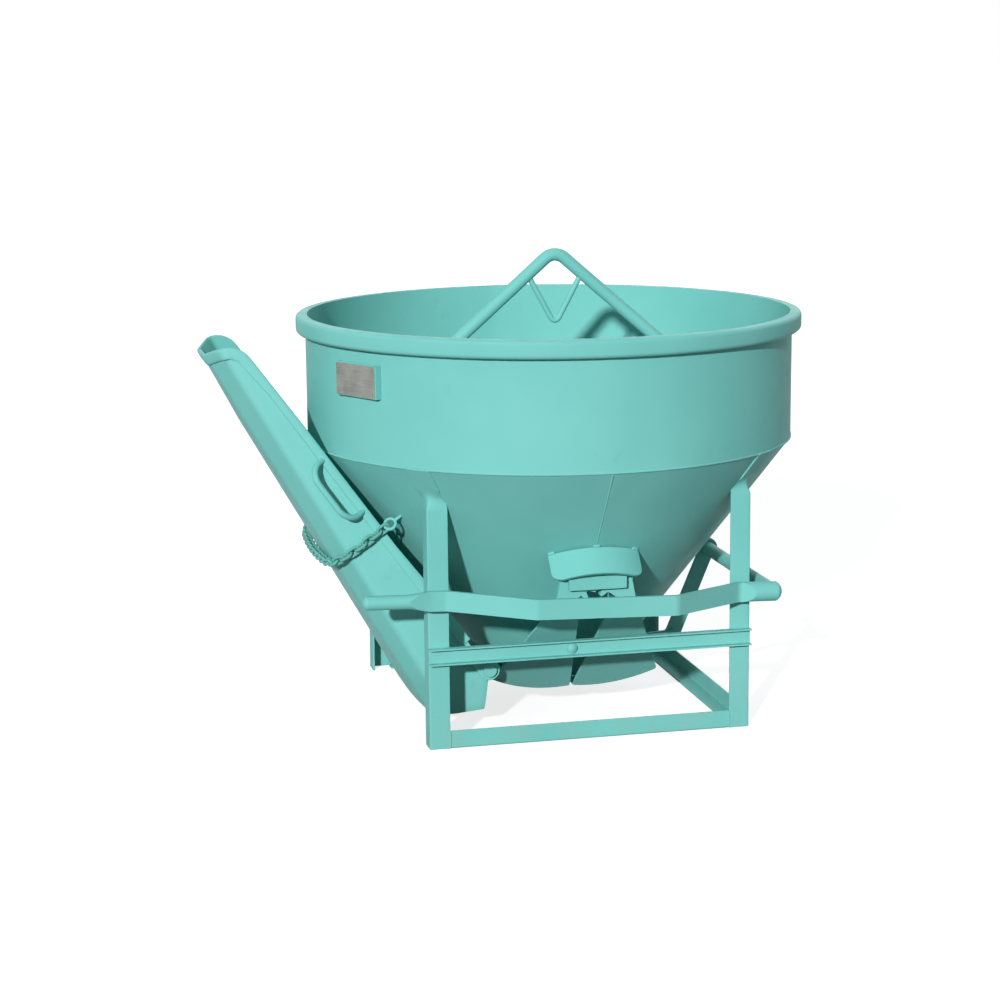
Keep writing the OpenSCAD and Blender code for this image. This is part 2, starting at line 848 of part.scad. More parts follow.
// Places a level lever frame at its droop about the pivots on the left legs
module drooped() {
    translate([lever_x, 0, lever_z])
        rotate([0, lever_droop, 0])
            translate([-lever_x, 0, 0])
                children();
}

// Points of one side of a bent bar, at a distance off to the left of its centre line
function left_of(turn) = [-sin(turn), cos(turn)];
function heading(from, to) = atan2(to[1] - from[1], to[0] - from[0]);
function bend_points(from, at, to, off) =
    let (
        start = heading(from, at),
        turn = heading(at, to) - start,
        way = sign(turn),
        tangent = lever_bend_r * tan(abs(turn) / 2),
        centre = at - tangent * [cos(start), sin(start)] + way * lever_bend_r * left_of(start)
    )
    [for (k = [0 : bend_count])
        centre - (way * lever_bend_r - off) * left_of(start + turn * k / bend_count)];
function bar_side(path, off) =
    let (last = len(path) - 1)
    [for (k = [0 : last])
        each k == 0 ? [path[0] + off * left_of(heading(path[0], path[1]))]
            : k == last ? [path[last] + off * left_of(heading(path[last - 1], path[last]))]
            : bend_points(path[k - 1], path[k], path[k + 1], off)];

// Round end of a bar: a cone that runs out of the bar's full height, then a domed round bar
module grip(from_x, to_x, r, flare) {
    round_len = abs(to_x - from_x) - flare - r / 2;
    dome_r = r * sqrt(1.25);
    lead = flare / 4;
    seam_r = norm([bar_h, bar_t]) / 2 + run_gap;
    translate([from_x, -bar_y, 0])
        rotate([0, to_x > from_x ? 90 : -90, 0]) {
            translate([0, 0, -lead])
                cylinder(h = flare + lead, r1 = seam_r + (seam_r - r) * lead / flare, r2 = r);
            translate([0, 0, flare])
                rotate_extrude() {
                    square([r, round_len]);
                    intersection() {
                        translate([0, round_len - r / 2]) circle(dome_r);
                        square([r, round_len + r]);
                    }
                }
        }
}

// Plan outline of the whole bar: bent flat bar, opened out at both ends for the round grips
module lever_plan() {
    path = [
        [-leg_x, -bar_y], [-bend_x, -bar_y], [-bow_half, -bow_y],
        [bow_half, -bow_y], [bend_x, -bar_y], [leg_x - end_flare_len, -bar_y]
    ];
    near = bar_side(path, bar_t / 2);
    far = bar_side(path, -bar_t / 2);
    left = [-leg_x - flare_len, grip_r + run_gap];
    right = [leg_x, bar_h / 2 + run_gap];
    left_tip = -leg_x - grip_reach - overrun;
    right_tip = tube_x + grip_r + overrun;
    polygon(concat(
        [[left_tip, left[1] - bar_y], [left[0], left[1] - bar_y]],
        near,
        [
            [right[0], right[1] - bar_y], [right_tip, right[1] - bar_y],
            [right_tip, -right[1] - bar_y], [right[0], -right[1] - bar_y]
        ],
        [for (k = [len(far) - 1 : -1 : 0]) far[k]],
        [[left[0], -left[1] - bar_y], [left_tip, -left[1] - bar_y]]
    ));
}

module lever_bar() {
    intersection() {
        linear_extrude(height = bar_h, center = true) lever_plan();
        union() {
            translate([-leg_x, -bow_y - overrun, -bar_h])
                cube([2 * leg_x - end_flare_len, bow_out + 2 * overrun, 2 * bar_h]);
            grip(-leg_x, -leg_x - grip_reach, grip_r, flare_len);
            grip(leg_x - end_flare_len, tube_x + grip_r, bar_h / 2, end_flare_len);
        }
    }
}

module lever_front_bar() { color(paint) drooped() lever_bar(); }
module lever_rear_bar() { color(paint) drooped() mirror([0, 1, 0]) lever_bar(); }

module lever_cross_tube() {
    inner_r = grip_r - tube_wall;
    color(paint)
        drooped()
            difference() {
                translate([tube_x, 0, 0])
                    rotate([90, 0, 0])
                        difference() {
                            cylinder(h = 2 * bar_y, r = grip_r, center = true);
                            cylinder(h = 2 * bar_y + overrun, r = inner_r, center = true);
                        }
                for (side = [-1, 1])
                    translate([tube_x, side * bar_y, 0])
                        rotate([0, 90, 0])
                            cylinder(h = 4 * grip_r, r = bar_h / 2, center = true);
            }
}

// Shouldered pins welded behind the bars, turning in the left legs
module lever_pivot_pins() {
    pin_end = leg_y - leg_t - run_gap - collar_t - lever_pin_r / 2;
    color(bare_steel)
        drooped()
            for (side = [-1, 1])
                translate([lever_x, 0, 0]) {
                    rod_y(side, pin_end, leg_y + run_gap, lever_pin_r);
                    rod_y(side, leg_y + run_gap, leg_y + lever_gap, shoulder_r);
                }
}

module lever_pin_collars() {
    far = leg_y - leg_t - run_gap;
    color(bare_steel)
        drooped()
            for (side = [-1, 1])
                translate([lever_x, 0, 0])
                    difference() {
                        rod_y(side, far - collar_t, far, shoulder_r);
                        rod_y(side, far - collar_t - overrun, far + overrun, lever_pin_r + fit_gap);
                    }
}

// Flat link from the cross tube down to the right gate half, loose on its lower pin
module gate_link() {
    color(shade_paint)
        difference() {
            translate([tube_rest_x, 0, tube_rest_z])
                plate_y(1, link_y - link_t / 2, link_y + link_t / 2)
                    rotate(link_turn) {
                        circle(link_eye_r);
                        translate([0, -link_w / 2]) square([link_len, link_w]);
                        translate([link_len, 0]) circle(link_w / 2);
                    }
            translate([tube_rest_x, 0, tube_rest_z])
                rod_y(1, link_y - link_t / 2 - overrun, link_y + link_t / 2 + overrun, grip_r + fit_gap);
            translate([link_pin_x, 0, link_pin_z])
                rod_y(
                    1, link_y - link_t / 2 - overrun, link_y + link_t / 2 + overrun,
                    link_pin_r + loose_gap
                );
        }
}

// Chute, drawn with its hinge at the origin, its tip towards -X and its open side up

module stowed() {
    translate([-hinge_x, 0, hinge_z]) rotate([0, chute_lean, 0]) children();
}

// Cross-section of the trough at a place along it, as a thin slice, grown by a distance
module trough_slice(x, grow, top) {
    half = chute_half(x) + grow;
    deep = chute_deep(x) + grow;
    r = chute_corner(x) + grow;
    slice = chute_t / 8;
    translate([x, 0, 0])
        rotate([90, 0, 90])
            linear_extrude(height = slice, center = true) {
                translate([-half, -deep + r]) square([2 * half, deep - r + top]);
                translate([-half + r, -deep]) square([2 * half - 2 * r, deep + top]);
                for (side = [-1, 1]) translate([side * (half - r), -deep + r]) circle(r, $fn = 48);
            }
}

module trough_form(grow, top, from_x, to_x) {
    hull() {
        trough_slice(from_x, grow, top);
        trough_slice(chute_taper_at, grow, top);
    }
    hull() {
        trough_slice(chute_taper_at, grow, top);
        trough_slice(to_x, grow, top);
    }
}

// Side outline of the trough: the wide end is cut back so that it swings clear of the gate
module trough_side_2d() {
    polygon([
        [tail_x * 0.1, 0], [tail_x, -chute_depth * 0.37], [0, -chute_depth - overrun],
        [tip_x(-chute_depth - overrun), -chute_depth - overrun], [tip_x(0), 0]
    ]);
}

module chute_trough() {
    color(paint)
        stowed()
            intersection() {
                difference() {
                    trough_form(0, 0, tail_x, -chute_len - overrun);
                    trough_form(-chute_t, overrun, tail_x + overrun, -chute_len - 2 * overrun);
                }
                rotate([90, 0, 0])
                    linear_extrude(height = 2 * chute_w, center = true)
                        trough_side_2d();
            }
}

// Flat strips welded outside the walls along the free edges
module chute_edge_strips() {
    strip_len = (chute_taper_at - tip_x(0) - band_w) / cos(wall_turn) - edge_t;
    color(paint)
        stowed()
            for (side = [-1, 1])
                translate([chute_taper_at, side * (chute_w / 2 + seat_gap), -edge_w])
                    rotate([0, 0, 180 + side * wall_turn])
                        translate([0, side > 0 ? -edge_t : 0, 0])
                            cube([strip_len, edge_t, edge_w]);
}

// Band round the outside of the tip, raked like the tip
module chute_tip_band() {
    low = -tip_depth - overrun;
    color(paint)
        stowed()
            intersection() {
                difference() {
                    hull() {
                        trough_slice(chute_taper_at, edge_t, 0);
                        trough_slice(-chute_len - overrun, edge_t, 0);
                    }
                    hull() {
                        trough_slice(chute_taper_at, seat_gap, overrun);
                        trough_slice(-chute_len - overrun, seat_gap, overrun);
                    }
                }
                rotate([90, 0, 0])
                    linear_extrude(height = 2 * chute_w, center = true)
                        polygon([
                            [tip_x(0), 0], [tip_x(0) + band_w, 0],
                            [tip_x(low) + band_w, low], [tip_x(low), low]
                        ]);
            }
}

module chute_hinge_ears() {
    color(paint)
        stowed()
            for (side = [-1, 1])
                difference() {
                    plate_y(side, chute_w / 2, ear_face) {
                        circle(ear_r);
                        translate([-ear_r, -ear_drop]) square([2 * ear_r, ear_drop]);
                    }
                    rod_y(side, chute_w / 2 - overrun, ear_face + overrun, hinge_pin_r + fit_gap);
                }
}

// D handle of round bar on the front wall
module chute_handle() {
    half = handle_len / 2;
    wall_y = chute_half(-handle_at);
    color(paint)
        stowed()
            difference() {
                translate([-handle_at, -wall_y, -edge_w / 2])
                    rotate([0, 0, -wall_turn])
                        rotate([handle_tilt, 0, 0]) {
                            translate([0, -handle_reach, 0])
                                rotate([0, 90, 0])
                                    cylinder(h = 2 * (half - handle_bend_r), r = handle_r, center = true);
                            for (side = [-1, 1]) {
                                translate([
                                    side * (half - handle_bend_r), -handle_reach + handle_bend_r, 0
                                ])
                                    rotate([0, 0, side > 0 ? -90 : 180])
                                        rotate_extrude(angle = 90)
                                            translate([handle_bend_r, 0]) circle(handle_r);
                                translate([side * half, -handle_reach + handle_bend_r, 0])
                                    rotate([-90, 0, 0])
                                        cylinder(h = handle_reach, r = handle_r);
                            }
                        }
                hull() {
                    trough_slice(chute_taper_at, edge_t + 2 * seat_gap, overrun);
                    trough_slice(-chute_len, edge_t + 2 * seat_gap, overrun);
                }
            }
}

// Chain round the stowed chute

// Place [y, z, turn] on the chain's run at a length from its front end
function chain_place(s) =
    s < run_down ? [-chain_half, chain_rise - s, 0]
    : s < run_down + run_bend ?
        let (turn = (s - run_down) / chain_corner * 180 / PI)
        [
            -chain_half + chain_corner - chain_corner * cos(turn),
            -chain_deep + chain_corner - chain_corner * sin(turn), turn
        ]
    : s < run_down + run_bend + run_under ?
        [-chain_half + chain_corner + s - run_down - run_bend, -chain_deep, 90]
    : let (back = chain_place(chain_len - s))
        [-back[0], back[1], 180 - back[2]];

// One link, long along Z and flat in the X-Z plane
module chain_link() {
    for (end = [-1, 1]) {
        translate([end * link_bend_r, 0, 0])
            cylinder(h = link_straight, r = link_wire_r, center = true);
        translate([0, 0, end * link_straight / 2])
            rotate([90, 0, 0])
                rotate([0, 0, end > 0 ? 0 : 180])
                    rotate_extrude(angle = 180)
                        translate([link_bend_r, 0]) circle(link_wire_r);
    }
}

// Links from one number to another along the chain
module chain_run(first, last) {
    stowed()
        for (k = [first : last]) {
            place = chain_place(chain_start + k * link_step);
            translate([-chain_at, place[0], place[1]])
                rotate([place[2], 0, 0])
                    rotate([0, 0, k % 2 == 0 ? 45 : -45])
                        chain_link();
        }
}

module chute_chain() { color(bare_steel) chain_run(tail_links, chain_links - 1 - tail_links); }

// Last links at both ends, which stay on the hopper's eyes
module chain_tails() {
    color(bare_steel) {
        chain_run(0, tail_links - 1);
        chain_run(chain_links - tail_links, chain_links - 1);
    }
}

// Ring eyes welded to the cone, in which the chain's end links hang
module chain_eyes() {
    color(paint)
        difference() {
            stowed()
                for (side = [-1, 1])
                    translate([-chain_at, side * chain_half, chain_rise - chain_start + eye_drop + eye_r]) {
                        rotate([90, 0, side > 0 && chain_links % 2 == 1 ? 45 : -45])
                            rotate_extrude()
                                translate([eye_r, 0]) circle(eye_wire_r);
                        translate([0, 0, eye_r])
                            cylinder(h = 4 * eye_r, r = eye_wire_r);
                    }
            hopper_solid();
            hopper_inside();
        }
}

// Chute hinge

module chute_hangers() {
    low_z = channel_z - channel_h / 2;
    top_z = low_z + ear_t;
    arm_x = hinge_x + 1.2 * ear_r;
    color(paint)
        for (side = [-1, 1])
            difference() {
                union() {
                    plate_y(side, hanger_back, hanger_face) {
                        translate([-hinge_x, hinge_z]) circle(ear_r);
                        polygon([
                            [-hinge_x + ear_r * 0.6, hinge_z + ear_r * 0.8], [-hinge_x - ear_r * 0.4, top_z],
                            [-arm_x - ear_r, top_z], [-arm_x - ear_r, low_z],
                            [-hinge_x - ear_r * 0.8, hinge_z - ear_r * 0.6]
                        ]);
                    }
                    plate_y(side, hanger_face - ear_t / 2, leg_y)
                        translate([-arm_x - ear_r, low_z])
                            square([1.5 * ear_r, ear_t]);
                }
                translate([-hinge_x, 0, hinge_z])
                    rod_y(side, hanger_back - overrun, hanger_face + overrun, hinge_pin_r + fit_gap);
            }
}

module chute_hinge_pins() {
    color(bare_steel)
        for (side = [-1, 1])
            translate([-hinge_x, 0, hinge_z]) {
                rod_y(side, chute_w / 2 + run_gap, hanger_face, hinge_pin_r);
                rod_y(side, hanger_face, hanger_face + hinge_nut_t, hinge_pin_r + hinge_nut_rim);
            }
}

// Data plate

// Frame of the plate: X across it, Y outwards from the hopper, Z up
module at_plate() {
    rotate([0, 0, -plate_turn])
        translate([0, -shell_r - holder_gap, plate_z])
            children();
}

module plate_holder() {
    color(paint)
        difference() {
            at_plate() {
                translate([-holder_w / 2, -holder_t, -holder_h / 2]) cube([holder_w, holder_t, holder_h]);
                for (side = [-1, 1])
                    translate([side * (holder_w / 2 - holder_t / 2) - holder_t / 2, -holder_t, -holder_h / 2])
                        cube([holder_t, holder_gap + overrun, holder_h]);
            }
            cylinder(h = rim_z, r = shell_r);
        }
}

module data_plate() {
    color(plate_grey)
        at_plate()
            translate([-plate_w / 2, -holder_t - plate_t, -plate_h / 2])
                cube([plate_w, plate_t, plate_h]);
}

module plate_rivets() {
    color(bare_steel)
        at_plate()
            for (x = [-1, 1], z = [-1, 1])
                translate([
                    x * (plate_w / 2 - rivet_inset), -holder_t - plate_t, z * (plate_h / 2 - rivet_inset)
                ])
                    rotate([90, 0, 0])
                        cylinder(h = rivet_r / 2, r = rivet_r);
}

hopper_cylinder();
hopper_cone();
rim_hoop();
lifting_bail();
hook_keeper();
leg_front_left();
leg_front_right();
leg_rear_left();
leg_rear_right();
base_rail_front();
base_rail_rear();
base_rail_right();
channel_front();
channel_rear();
channel_bolts();
channel_nuts();
pivot_bosses();
pivot_pins();
thrust_washers();
pin_strap_front();
pin_strap_rear();
gear_hood_front();
gear_hood_rear();
gate_left_shell();
gate_left_cheek_front();
gate_left_cheek_rear();
gear_left_front();
gear_left_rear();
gate_right_shell();
gate_right_cheek_front();
gate_right_cheek_rear();
gear_right_front();
gear_right_rear();
link_lugs();
link_pin();
lever_front_bar();
lever_rear_bar();
lever_cross_tube();
lever_pivot_pins();
lever_pin_collars();
gate_link();
chute_trough();
chute_edge_strips();
chute_tip_band();
chute_hinge_ears();
chute_handle();
chute_chain();
chain_tails();
chain_eyes();
chute_hangers();
chute_hinge_pins();
plate_holder();
data_plate();
plate_rivets();
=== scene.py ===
import math
import bpy
import bmesh
from mathutils import Matrix, Vector


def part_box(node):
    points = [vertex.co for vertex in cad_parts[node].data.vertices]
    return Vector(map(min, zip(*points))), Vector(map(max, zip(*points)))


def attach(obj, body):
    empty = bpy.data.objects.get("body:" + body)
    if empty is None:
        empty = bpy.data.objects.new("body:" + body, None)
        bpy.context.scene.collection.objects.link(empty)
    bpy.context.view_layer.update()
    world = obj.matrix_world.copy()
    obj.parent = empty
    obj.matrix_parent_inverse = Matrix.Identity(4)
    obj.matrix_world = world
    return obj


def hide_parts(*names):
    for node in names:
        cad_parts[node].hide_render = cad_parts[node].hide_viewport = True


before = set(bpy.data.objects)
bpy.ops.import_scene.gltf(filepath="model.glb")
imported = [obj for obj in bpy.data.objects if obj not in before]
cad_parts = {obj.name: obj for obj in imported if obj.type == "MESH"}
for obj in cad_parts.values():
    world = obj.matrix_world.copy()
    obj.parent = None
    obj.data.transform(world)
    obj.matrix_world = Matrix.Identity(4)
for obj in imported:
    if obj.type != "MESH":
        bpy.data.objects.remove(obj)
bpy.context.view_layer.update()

# Floor, daylight and camera
# A plain white yard: low sun from the front left, a soft light from behind, an even
# sky, and a white floor that keeps the bucket's shadow. The camera stands to the front.
scene = bpy.context.scene
scene.view_settings.view_transform = "Standard"

lens = bpy.data.cameras.new("photo_camera")
lens.lens = 88.67
lens.sensor_width = 36
camera = bpy.data.objects.new("photo_camera", lens)
scene.collection.objects.link(camera)
scene.camera = camera
camera_back = Vector((-0.2199, -0.9572, 0.188)).normalized()
camera_right = Vector((0.0516, 0.1810, 0.9821)).cross(camera_back).normalized()
camera_up = camera_back.cross(camera_right)
camera.matrix_world = (
    Matrix.Translation((-1.186, -4.7212, 1.3377))
    @ Matrix((camera_right, camera_up, camera_back)).transposed().to_4x4()
)

sun_light = bpy.data.lights.new("low_sun", "SUN")
sun_light.energy = 3.3
sun_light.angle = math.radians(2.5)
sun = bpy.data.objects.new("low_sun", sun_light)
scene.collection.objects.link(sun)
sun.rotation_euler = Vector((0.456, 0.822, -0.342)).to_track_quat("-Z", "Y").to_euler()

back_light = bpy.data.lights.new("soft_back_light", "SUN")
back_light.energy = 1.3
back_light.angle = math.radians(70)
back = bpy.data.objects.new("soft_back_light", back_light)
scene.collection.objects.link(back)
back.rotation_euler = Vector((-0.35, -0.75, -0.56)).to_track_quat("-Z", "Y").to_euler()


def add(tree, kind, **sockets):
    """One node with its inputs set or linked by name."""
    node = tree.nodes.new(kind)
    for name, value in sockets.items():
        put(tree, node, name.replace("_", " "), value)
    return node


def put(tree, node, name, value):
    """Sets or links one input, found by name without regard to case."""
    wanted = [s for s in node.inputs if s.name.lower() == name.lower() and s.enabled]
    if isinstance(value, bpy.types.NodeSocket):
        tree.links.new(value, wanted[0])
    else:
        wanted[0].default_value = value


def seen_rays(tree):
    """1 for rays from the camera and for those in gloss or glass, else 0."""
    light_path = add(tree, "ShaderNodeLightPath")
    total = light_path.outputs["Is Camera Ray"]
    for other in ("Is Glossy Ray", "Is Transmission Ray"):
        most = tree.nodes.new("ShaderNodeMath")
        most.operation = "MAXIMUM"
        tree.links.new(total, most.inputs[0])
        tree.links.new(light_path.outputs[other], most.inputs[1])
        total = most.outputs[0]
    return total


sky = bpy.data.worlds.new("white_sky")
sky.use_nodes = True
scene.world = sky
sky_tree = sky.node_tree
sky_tree.nodes.clear()
sky_mix = add(sky_tree, "ShaderNodeMixShader", Fac=seen_rays(sky_tree))
sky_tree.links.new(
    add(sky_tree, "ShaderNodeBackground", Color=(0.95, 0.98, 1, 1), Strength=0.235).outputs[0],
    sky_mix.inputs[1],
)
sky_tree.links.new(
    add(sky_tree, "ShaderNodeBackground", Color=(1, 1, 1, 1), Strength=1.0).outputs[0],
    sky_mix.inputs[2],
)
add(sky_tree, "ShaderNodeOutputWorld", Surface=sky_mix.outputs[0])

floor_mesh = bpy.data.meshes.new("floor")
yard = 60
floor_mesh.from_pydata(
    [(-yard, -yard, 0), (yard, -yard, 0), (yard, yard, 0), (-yard, yard, 0)], [], [(0, 1, 2, 3)]
)
floor = bpy.data.objects.new("floor", floor_mesh)
scene.collection.objects.link(floor)
floor_paint = bpy.data.materials.new("white_floor")
floor_paint.use_nodes = True
floor_tree = floor_paint.node_tree
floor_tree.nodes.clear()
floor_seen = seen_rays(floor_tree)
floor_white = add(floor_tree, "ShaderNodeAddShader")
floor_tree.links.new(
    add(floor_tree, "ShaderNodeBsdfDiffuse", Color=(0.5, 0.5, 0.5, 1)).outputs[0],
    floor_white.inputs[0],
)
floor_tree.links.new(
    add(floor_tree, "ShaderNodeEmission", Color=(1, 1, 1, 1), Strength=0.76).outputs[0],
    floor_white.inputs[1],
)
floor_mix = add(floor_tree, "ShaderNodeMixShader", Fac=floor_seen)
floor_tree.links.new(
    add(floor_tree, "ShaderNodeBsdfDiffuse", Color=(0.23, 0.23, 0.23, 1)).outputs[0],
    floor_mix.inputs[1],
)
floor_tree.links.new(floor_white.outputs[0], floor_mix.inputs[2])
add(floor_tree, "ShaderNodeOutputMaterial", Surface=floor_mix.outputs[0])
floor_mesh.materials.append(floor_paint)


# Hopper wall
# A sheet rolled to a ring and welded at front and back, sprayed with satin enamel.
# The sheet stays a little flat beside its two seams, so that light breaks there.
def tone(red, green, blue):
    """A colour as it is read off a screen, 0 to 255, as linear light."""
    return tuple(
        c / 12.92 if c <= 0.04045 else ((c + 0.055) / 1.055) ** 2.4
        for c in (red / 255, green / 255, blue / 255)
    ) + (1.0,)


def noise(tree, place, scale, detail=2.0, roughness=0.5):
    """Soft random field between 0 and 1."""
    return add(
        tree,
        "ShaderNodeTexNoise",
        Vector=place,
        Scale=scale,
        Detail=detail,
        Roughness=roughness,
    ).outputs["Fac"]


def remap(tree, value, low, high, start, end):
    """Takes a value from one range to another, held at both ends."""
    node = add(tree, "ShaderNodeMapRange", Value=value)
    for name, number in (
        ("From Min", low),
        ("From Max", high),
        ("To Min", start),
        ("To Max", end),
    ):
        put(tree, node, name, number)
    return node.outputs[0]


def sums(tree, how, first, second):
    """Arithmetic on two values or sockets."""
    node = tree.nodes.new("ShaderNodeMath")
    node.operation = how
    for n, value in enumerate((first, second)):
        if isinstance(value, bpy.types.NodeSocket):
            tree.links.new(value, node.inputs[n])
        else:
            node.inputs[n].default_value = value
    return node.outputs[0]


def blended(tree, factor, first, second):
    """Mix of two colours or colour sockets."""
    node = tree.nodes.new("ShaderNodeMix")
    node.data_type = "RGBA"
    tree.links.new(factor, node.inputs["Factor"])
    ends = [s for s in node.inputs if s.type == "RGBA"]
    for socket, value in zip(ends, (first, second)):
        if isinstance(value, bpy.types.NodeSocket):
            tree.links.new(value, socket)
        else:
            socket.default_value = value
    return [s for s in node.outputs if s.type == "RGBA"][0]


def enamel(name, light, dark, wear, wave=0.16, peel=0.05):
    """Sprayed enamel: uneven tone, peel, waves of the sheet, chipped edges, dust low down."""
    paint = bpy.data.materials.new(name)
    paint.use_nodes = True
    tree = paint.node_tree
    tree.nodes.clear()
    place = add(tree, "ShaderNodeTexCoord").outputs["Object"]
    parts = add(tree, "ShaderNodeSeparateXYZ", Vector=place)
    cloud = noise(tree, place, 3.2, 3.0, 0.55)
    colour = blended(tree, remap(tree, cloud, 0.32, 0.68, 0, 1), dark, light)
    low_down = remap(tree, parts.outputs["Z"], 0.0, 0.22, 0.34, 0.0)
    specks = remap(tree, noise(tree, place, 26, 5, 0.65), 0.45, 0.72, 0, 1)
    dust = sums(tree, "MULTIPLY", low_down, specks)
    colour = blended(tree, dust, colour, tone(150, 172, 160))
    stain = remap(tree, noise(tree, place, 14, 6, 0.7), 0.62, 0.8, 0, 0.16)
    colour = blended(tree, stain, colour, tone(70, 120, 112))
    edge = add(tree, "ShaderNodeAttribute")
    edge.attribute_name = "edge"
    chip = remap(tree, noise(tree, place, 130, 4, 0.7), wear, wear + 0.06, 0, 1)
    chip = sums(tree, "MULTIPLY", edge.outputs["Fac"], chip)
    rust_spots = remap(tree, noise(tree, place, 300, 2), 0.4, 0.6, 0, 1)
    rust = blended(tree, rust_spots, tone(92, 74, 62), tone(70, 72, 72))
    colour = blended(tree, chip, colour, rust)
    gloss = remap(tree, noise(tree, place, 30, 4, 0.6), 0.3, 0.7, 0.46, 0.6)
    gloss = sums(tree, "ADD", gloss, sums(tree, "MULTIPLY", dust, 0.5))
    waves = add(
        tree,
        "ShaderNodeBump",
        Strength=wave,
        Distance=0.006,
        Height=noise(tree, place, 7, 1.0),
    )
    skin_peel = add(
        tree,
        "ShaderNodeBump",
        Strength=peel,
        Distance=0.001,
        Height=noise(tree, place, 420, 2.0),
        Normal=waves.outputs[0],
    )
    body = add(
        tree,
        "ShaderNodeBsdfPrincipled",
        Base_Color=colour,
        Roughness=gloss,
        Normal=skin_peel.outputs[0],
    )
    body.inputs["Specular IOR Level"].default_value = 0.1
    add(tree, "ShaderNodeOutputMaterial", Surface=body.outputs[0])
    return paint


teal = enamel("teal_enamel", tone(123, 199, 193), tone(113, 191, 185), 0.62)


def piece(name, mesh, material, body, slot, *nodes):
    """A finished mesh as a piece that rides on a body and stands for CAD nodes."""
    mesh.name = name
    mesh.materials.clear()
    mesh.materials.append(material)
    made = bpy.data.objects.new(name, mesh)
    scene.collection.objects.link(made)
    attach(made, body)
    if nodes:
        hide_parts(*nodes)
    return made


def settle(work, edge=0.0, steps=2, crease=34):
    """Rounds the sharp edges of a closed mesh, marks them for wear and shades the rest smooth."""
    bmesh.ops.remove_doubles(work, verts=work.verts, dist=1e-6)
    bmesh.ops.recalc_face_normals(work, faces=work.faces)
    wear = work.loops.layers.float.new("edge")
    sharp = [
        e
        for e in work.edges
        if len(e.link_faces) == 2 and e.calc_face_angle(0) > math.radians(crease)
    ]
    if edge and sharp:
        made = bmesh.ops.bevel(
            work,
            geom=sharp,
            offset=edge,
            offset_type="OFFSET",
            segments=steps,
            profile=0.5,
            affect="EDGES",
            clamp_overlap=True,
        )
        for face in made["faces"]:
            for loop in face.loops:
                loop[wear] = 1.0
    for face in work.faces:
        face.smooth = True
    mesh = bpy.data.meshes.new("settled")
    work.to_mesh(mesh)
    work.free()
    mesh.set_sharp_from_angle(angle=math.radians(crease + 8))
    return mesh


def skin(rows, round_across=True, round_along=False, caps=False, edge=0.0, crease=42):
    """Closed mesh over rows of points."""
    work = bmesh.new()
    grid = [[work.verts.new(p) for p in row] for row in rows]
    rows_to = len(grid) if round_along else len(grid) - 1
    for i in range(rows_to):
        this, following = grid[i], grid[(i + 1) % len(grid)]
        count = len(this) if round_across else len(this) - 1
        for j in range(count):
            k = (j + 1) % len(this)
            work.faces.new((this[j], this[k], following[k], following[j]))
    if caps:
        work.faces.new(grid[0])
        work.faces.new(grid[-1])
    return settle(work, edge, crease=crease)


def plate(outside, inside, edge=0.0, crease=34):
    """Closed sheet between two grids of points of the same size."""
    work = bmesh.new()
    front = [[work.verts.new(p) for p in row] for row in outside]
    back = [[work.verts.new(p) for p in row] for row in inside]
    rows, columns = len(front), len(front[0])
    for i in range(rows - 1):
        for j in range(columns - 1):
            for face in (front, back):
                work.faces.new((face[i][j], face[i][j + 1], face[i + 1][j + 1], face[i + 1][j]))
        for j in (0, columns - 1):
            work.faces.new((front[i][j], front[i + 1][j], back[i + 1][j], back[i][j]))
    for j in range(columns - 1):
        for i in (0, rows - 1):
            work.faces.new((front[i][j], front[i][j + 1], back[i][j + 1], back[i][j]))
    return settle(work, edge, crease=crease)


around_hopper = 360
wall_r, wall_t = 0.481, 0.004
wall_low, wall_top = 0.543, 0.790


def sheet_swell(turn, z):
    """How far a rolled sheet stands out of true: peaks at the two seams and slow waves."""
    swell = 0.00035 * math.sin(5 * turn + 0.7) + 0.00025 * math.sin(9 * turn + 14 * z)
    on_cone = min(max((wall_low - z) / 0.03, 0), 1)
    for seam, peak in ((-math.pi / 2, 0.0003 + 0.0017 * on_cone), (math.pi / 2, 0.0018)):
        away = abs((turn - seam + math.pi) % (2 * math.pi) - math.pi)
        swell += peak * max(0, 1 - away / 0.08)
    return swell


def turned(outline):
    """Rows of points round the hopper from an outline of radius and height for each angle."""
    rows = []
    for n in range(around_hopper):
        turn = 2 * math.pi * n / around_hopper
        rows.append([(r * math.cos(turn), r * math.sin(turn), z) for r, z in outline(turn)])
    return rows


def wall_outline(turn):
    heights = [wall_low + (wall_top - wall_low) * n / 10 for n in range(11)]
    outside = [(wall_r + sheet_swell(turn, z), z) for z in heights]
    inside = [(wall_r - wall_t + sheet_swell(turn, z), z) for z in reversed(heights)]
    return outside + inside


piece(
    "hopper_wall_sheet",
    skin(turned(wall_outline), True, True),
    teal,
    "bucket",
    "teal_paint",
    "hopper_cylinder",
)


# Hopper cone
# Two bent sheets welded at front and back, and to the wall above. The lower edge is
# cut to the two arcs on which the gate halves swing.
cone_fall = 0.7623
cone_wall = 0.00503
gate_x, gate_z, gate_swing = 0.040, 0.320, 0.250


def cone_r(z):
    """Radius of the cone's outside at a height."""
    return wall_r - (wall_low - z) * cone_fall


def cone_foot(turn, thick):
    """Height at which the cone meets the arc of the gate half on that side."""
    low, high = 0.04, 0.20
    for _ in range(40):
        z = (low + high) / 2
        x = abs((cone_r(z) - thick) * math.cos(turn))
        if math.hypot(x - gate_x, z - gate_z) > gate_swing:
            low = z
        else:
            high = z
    return high


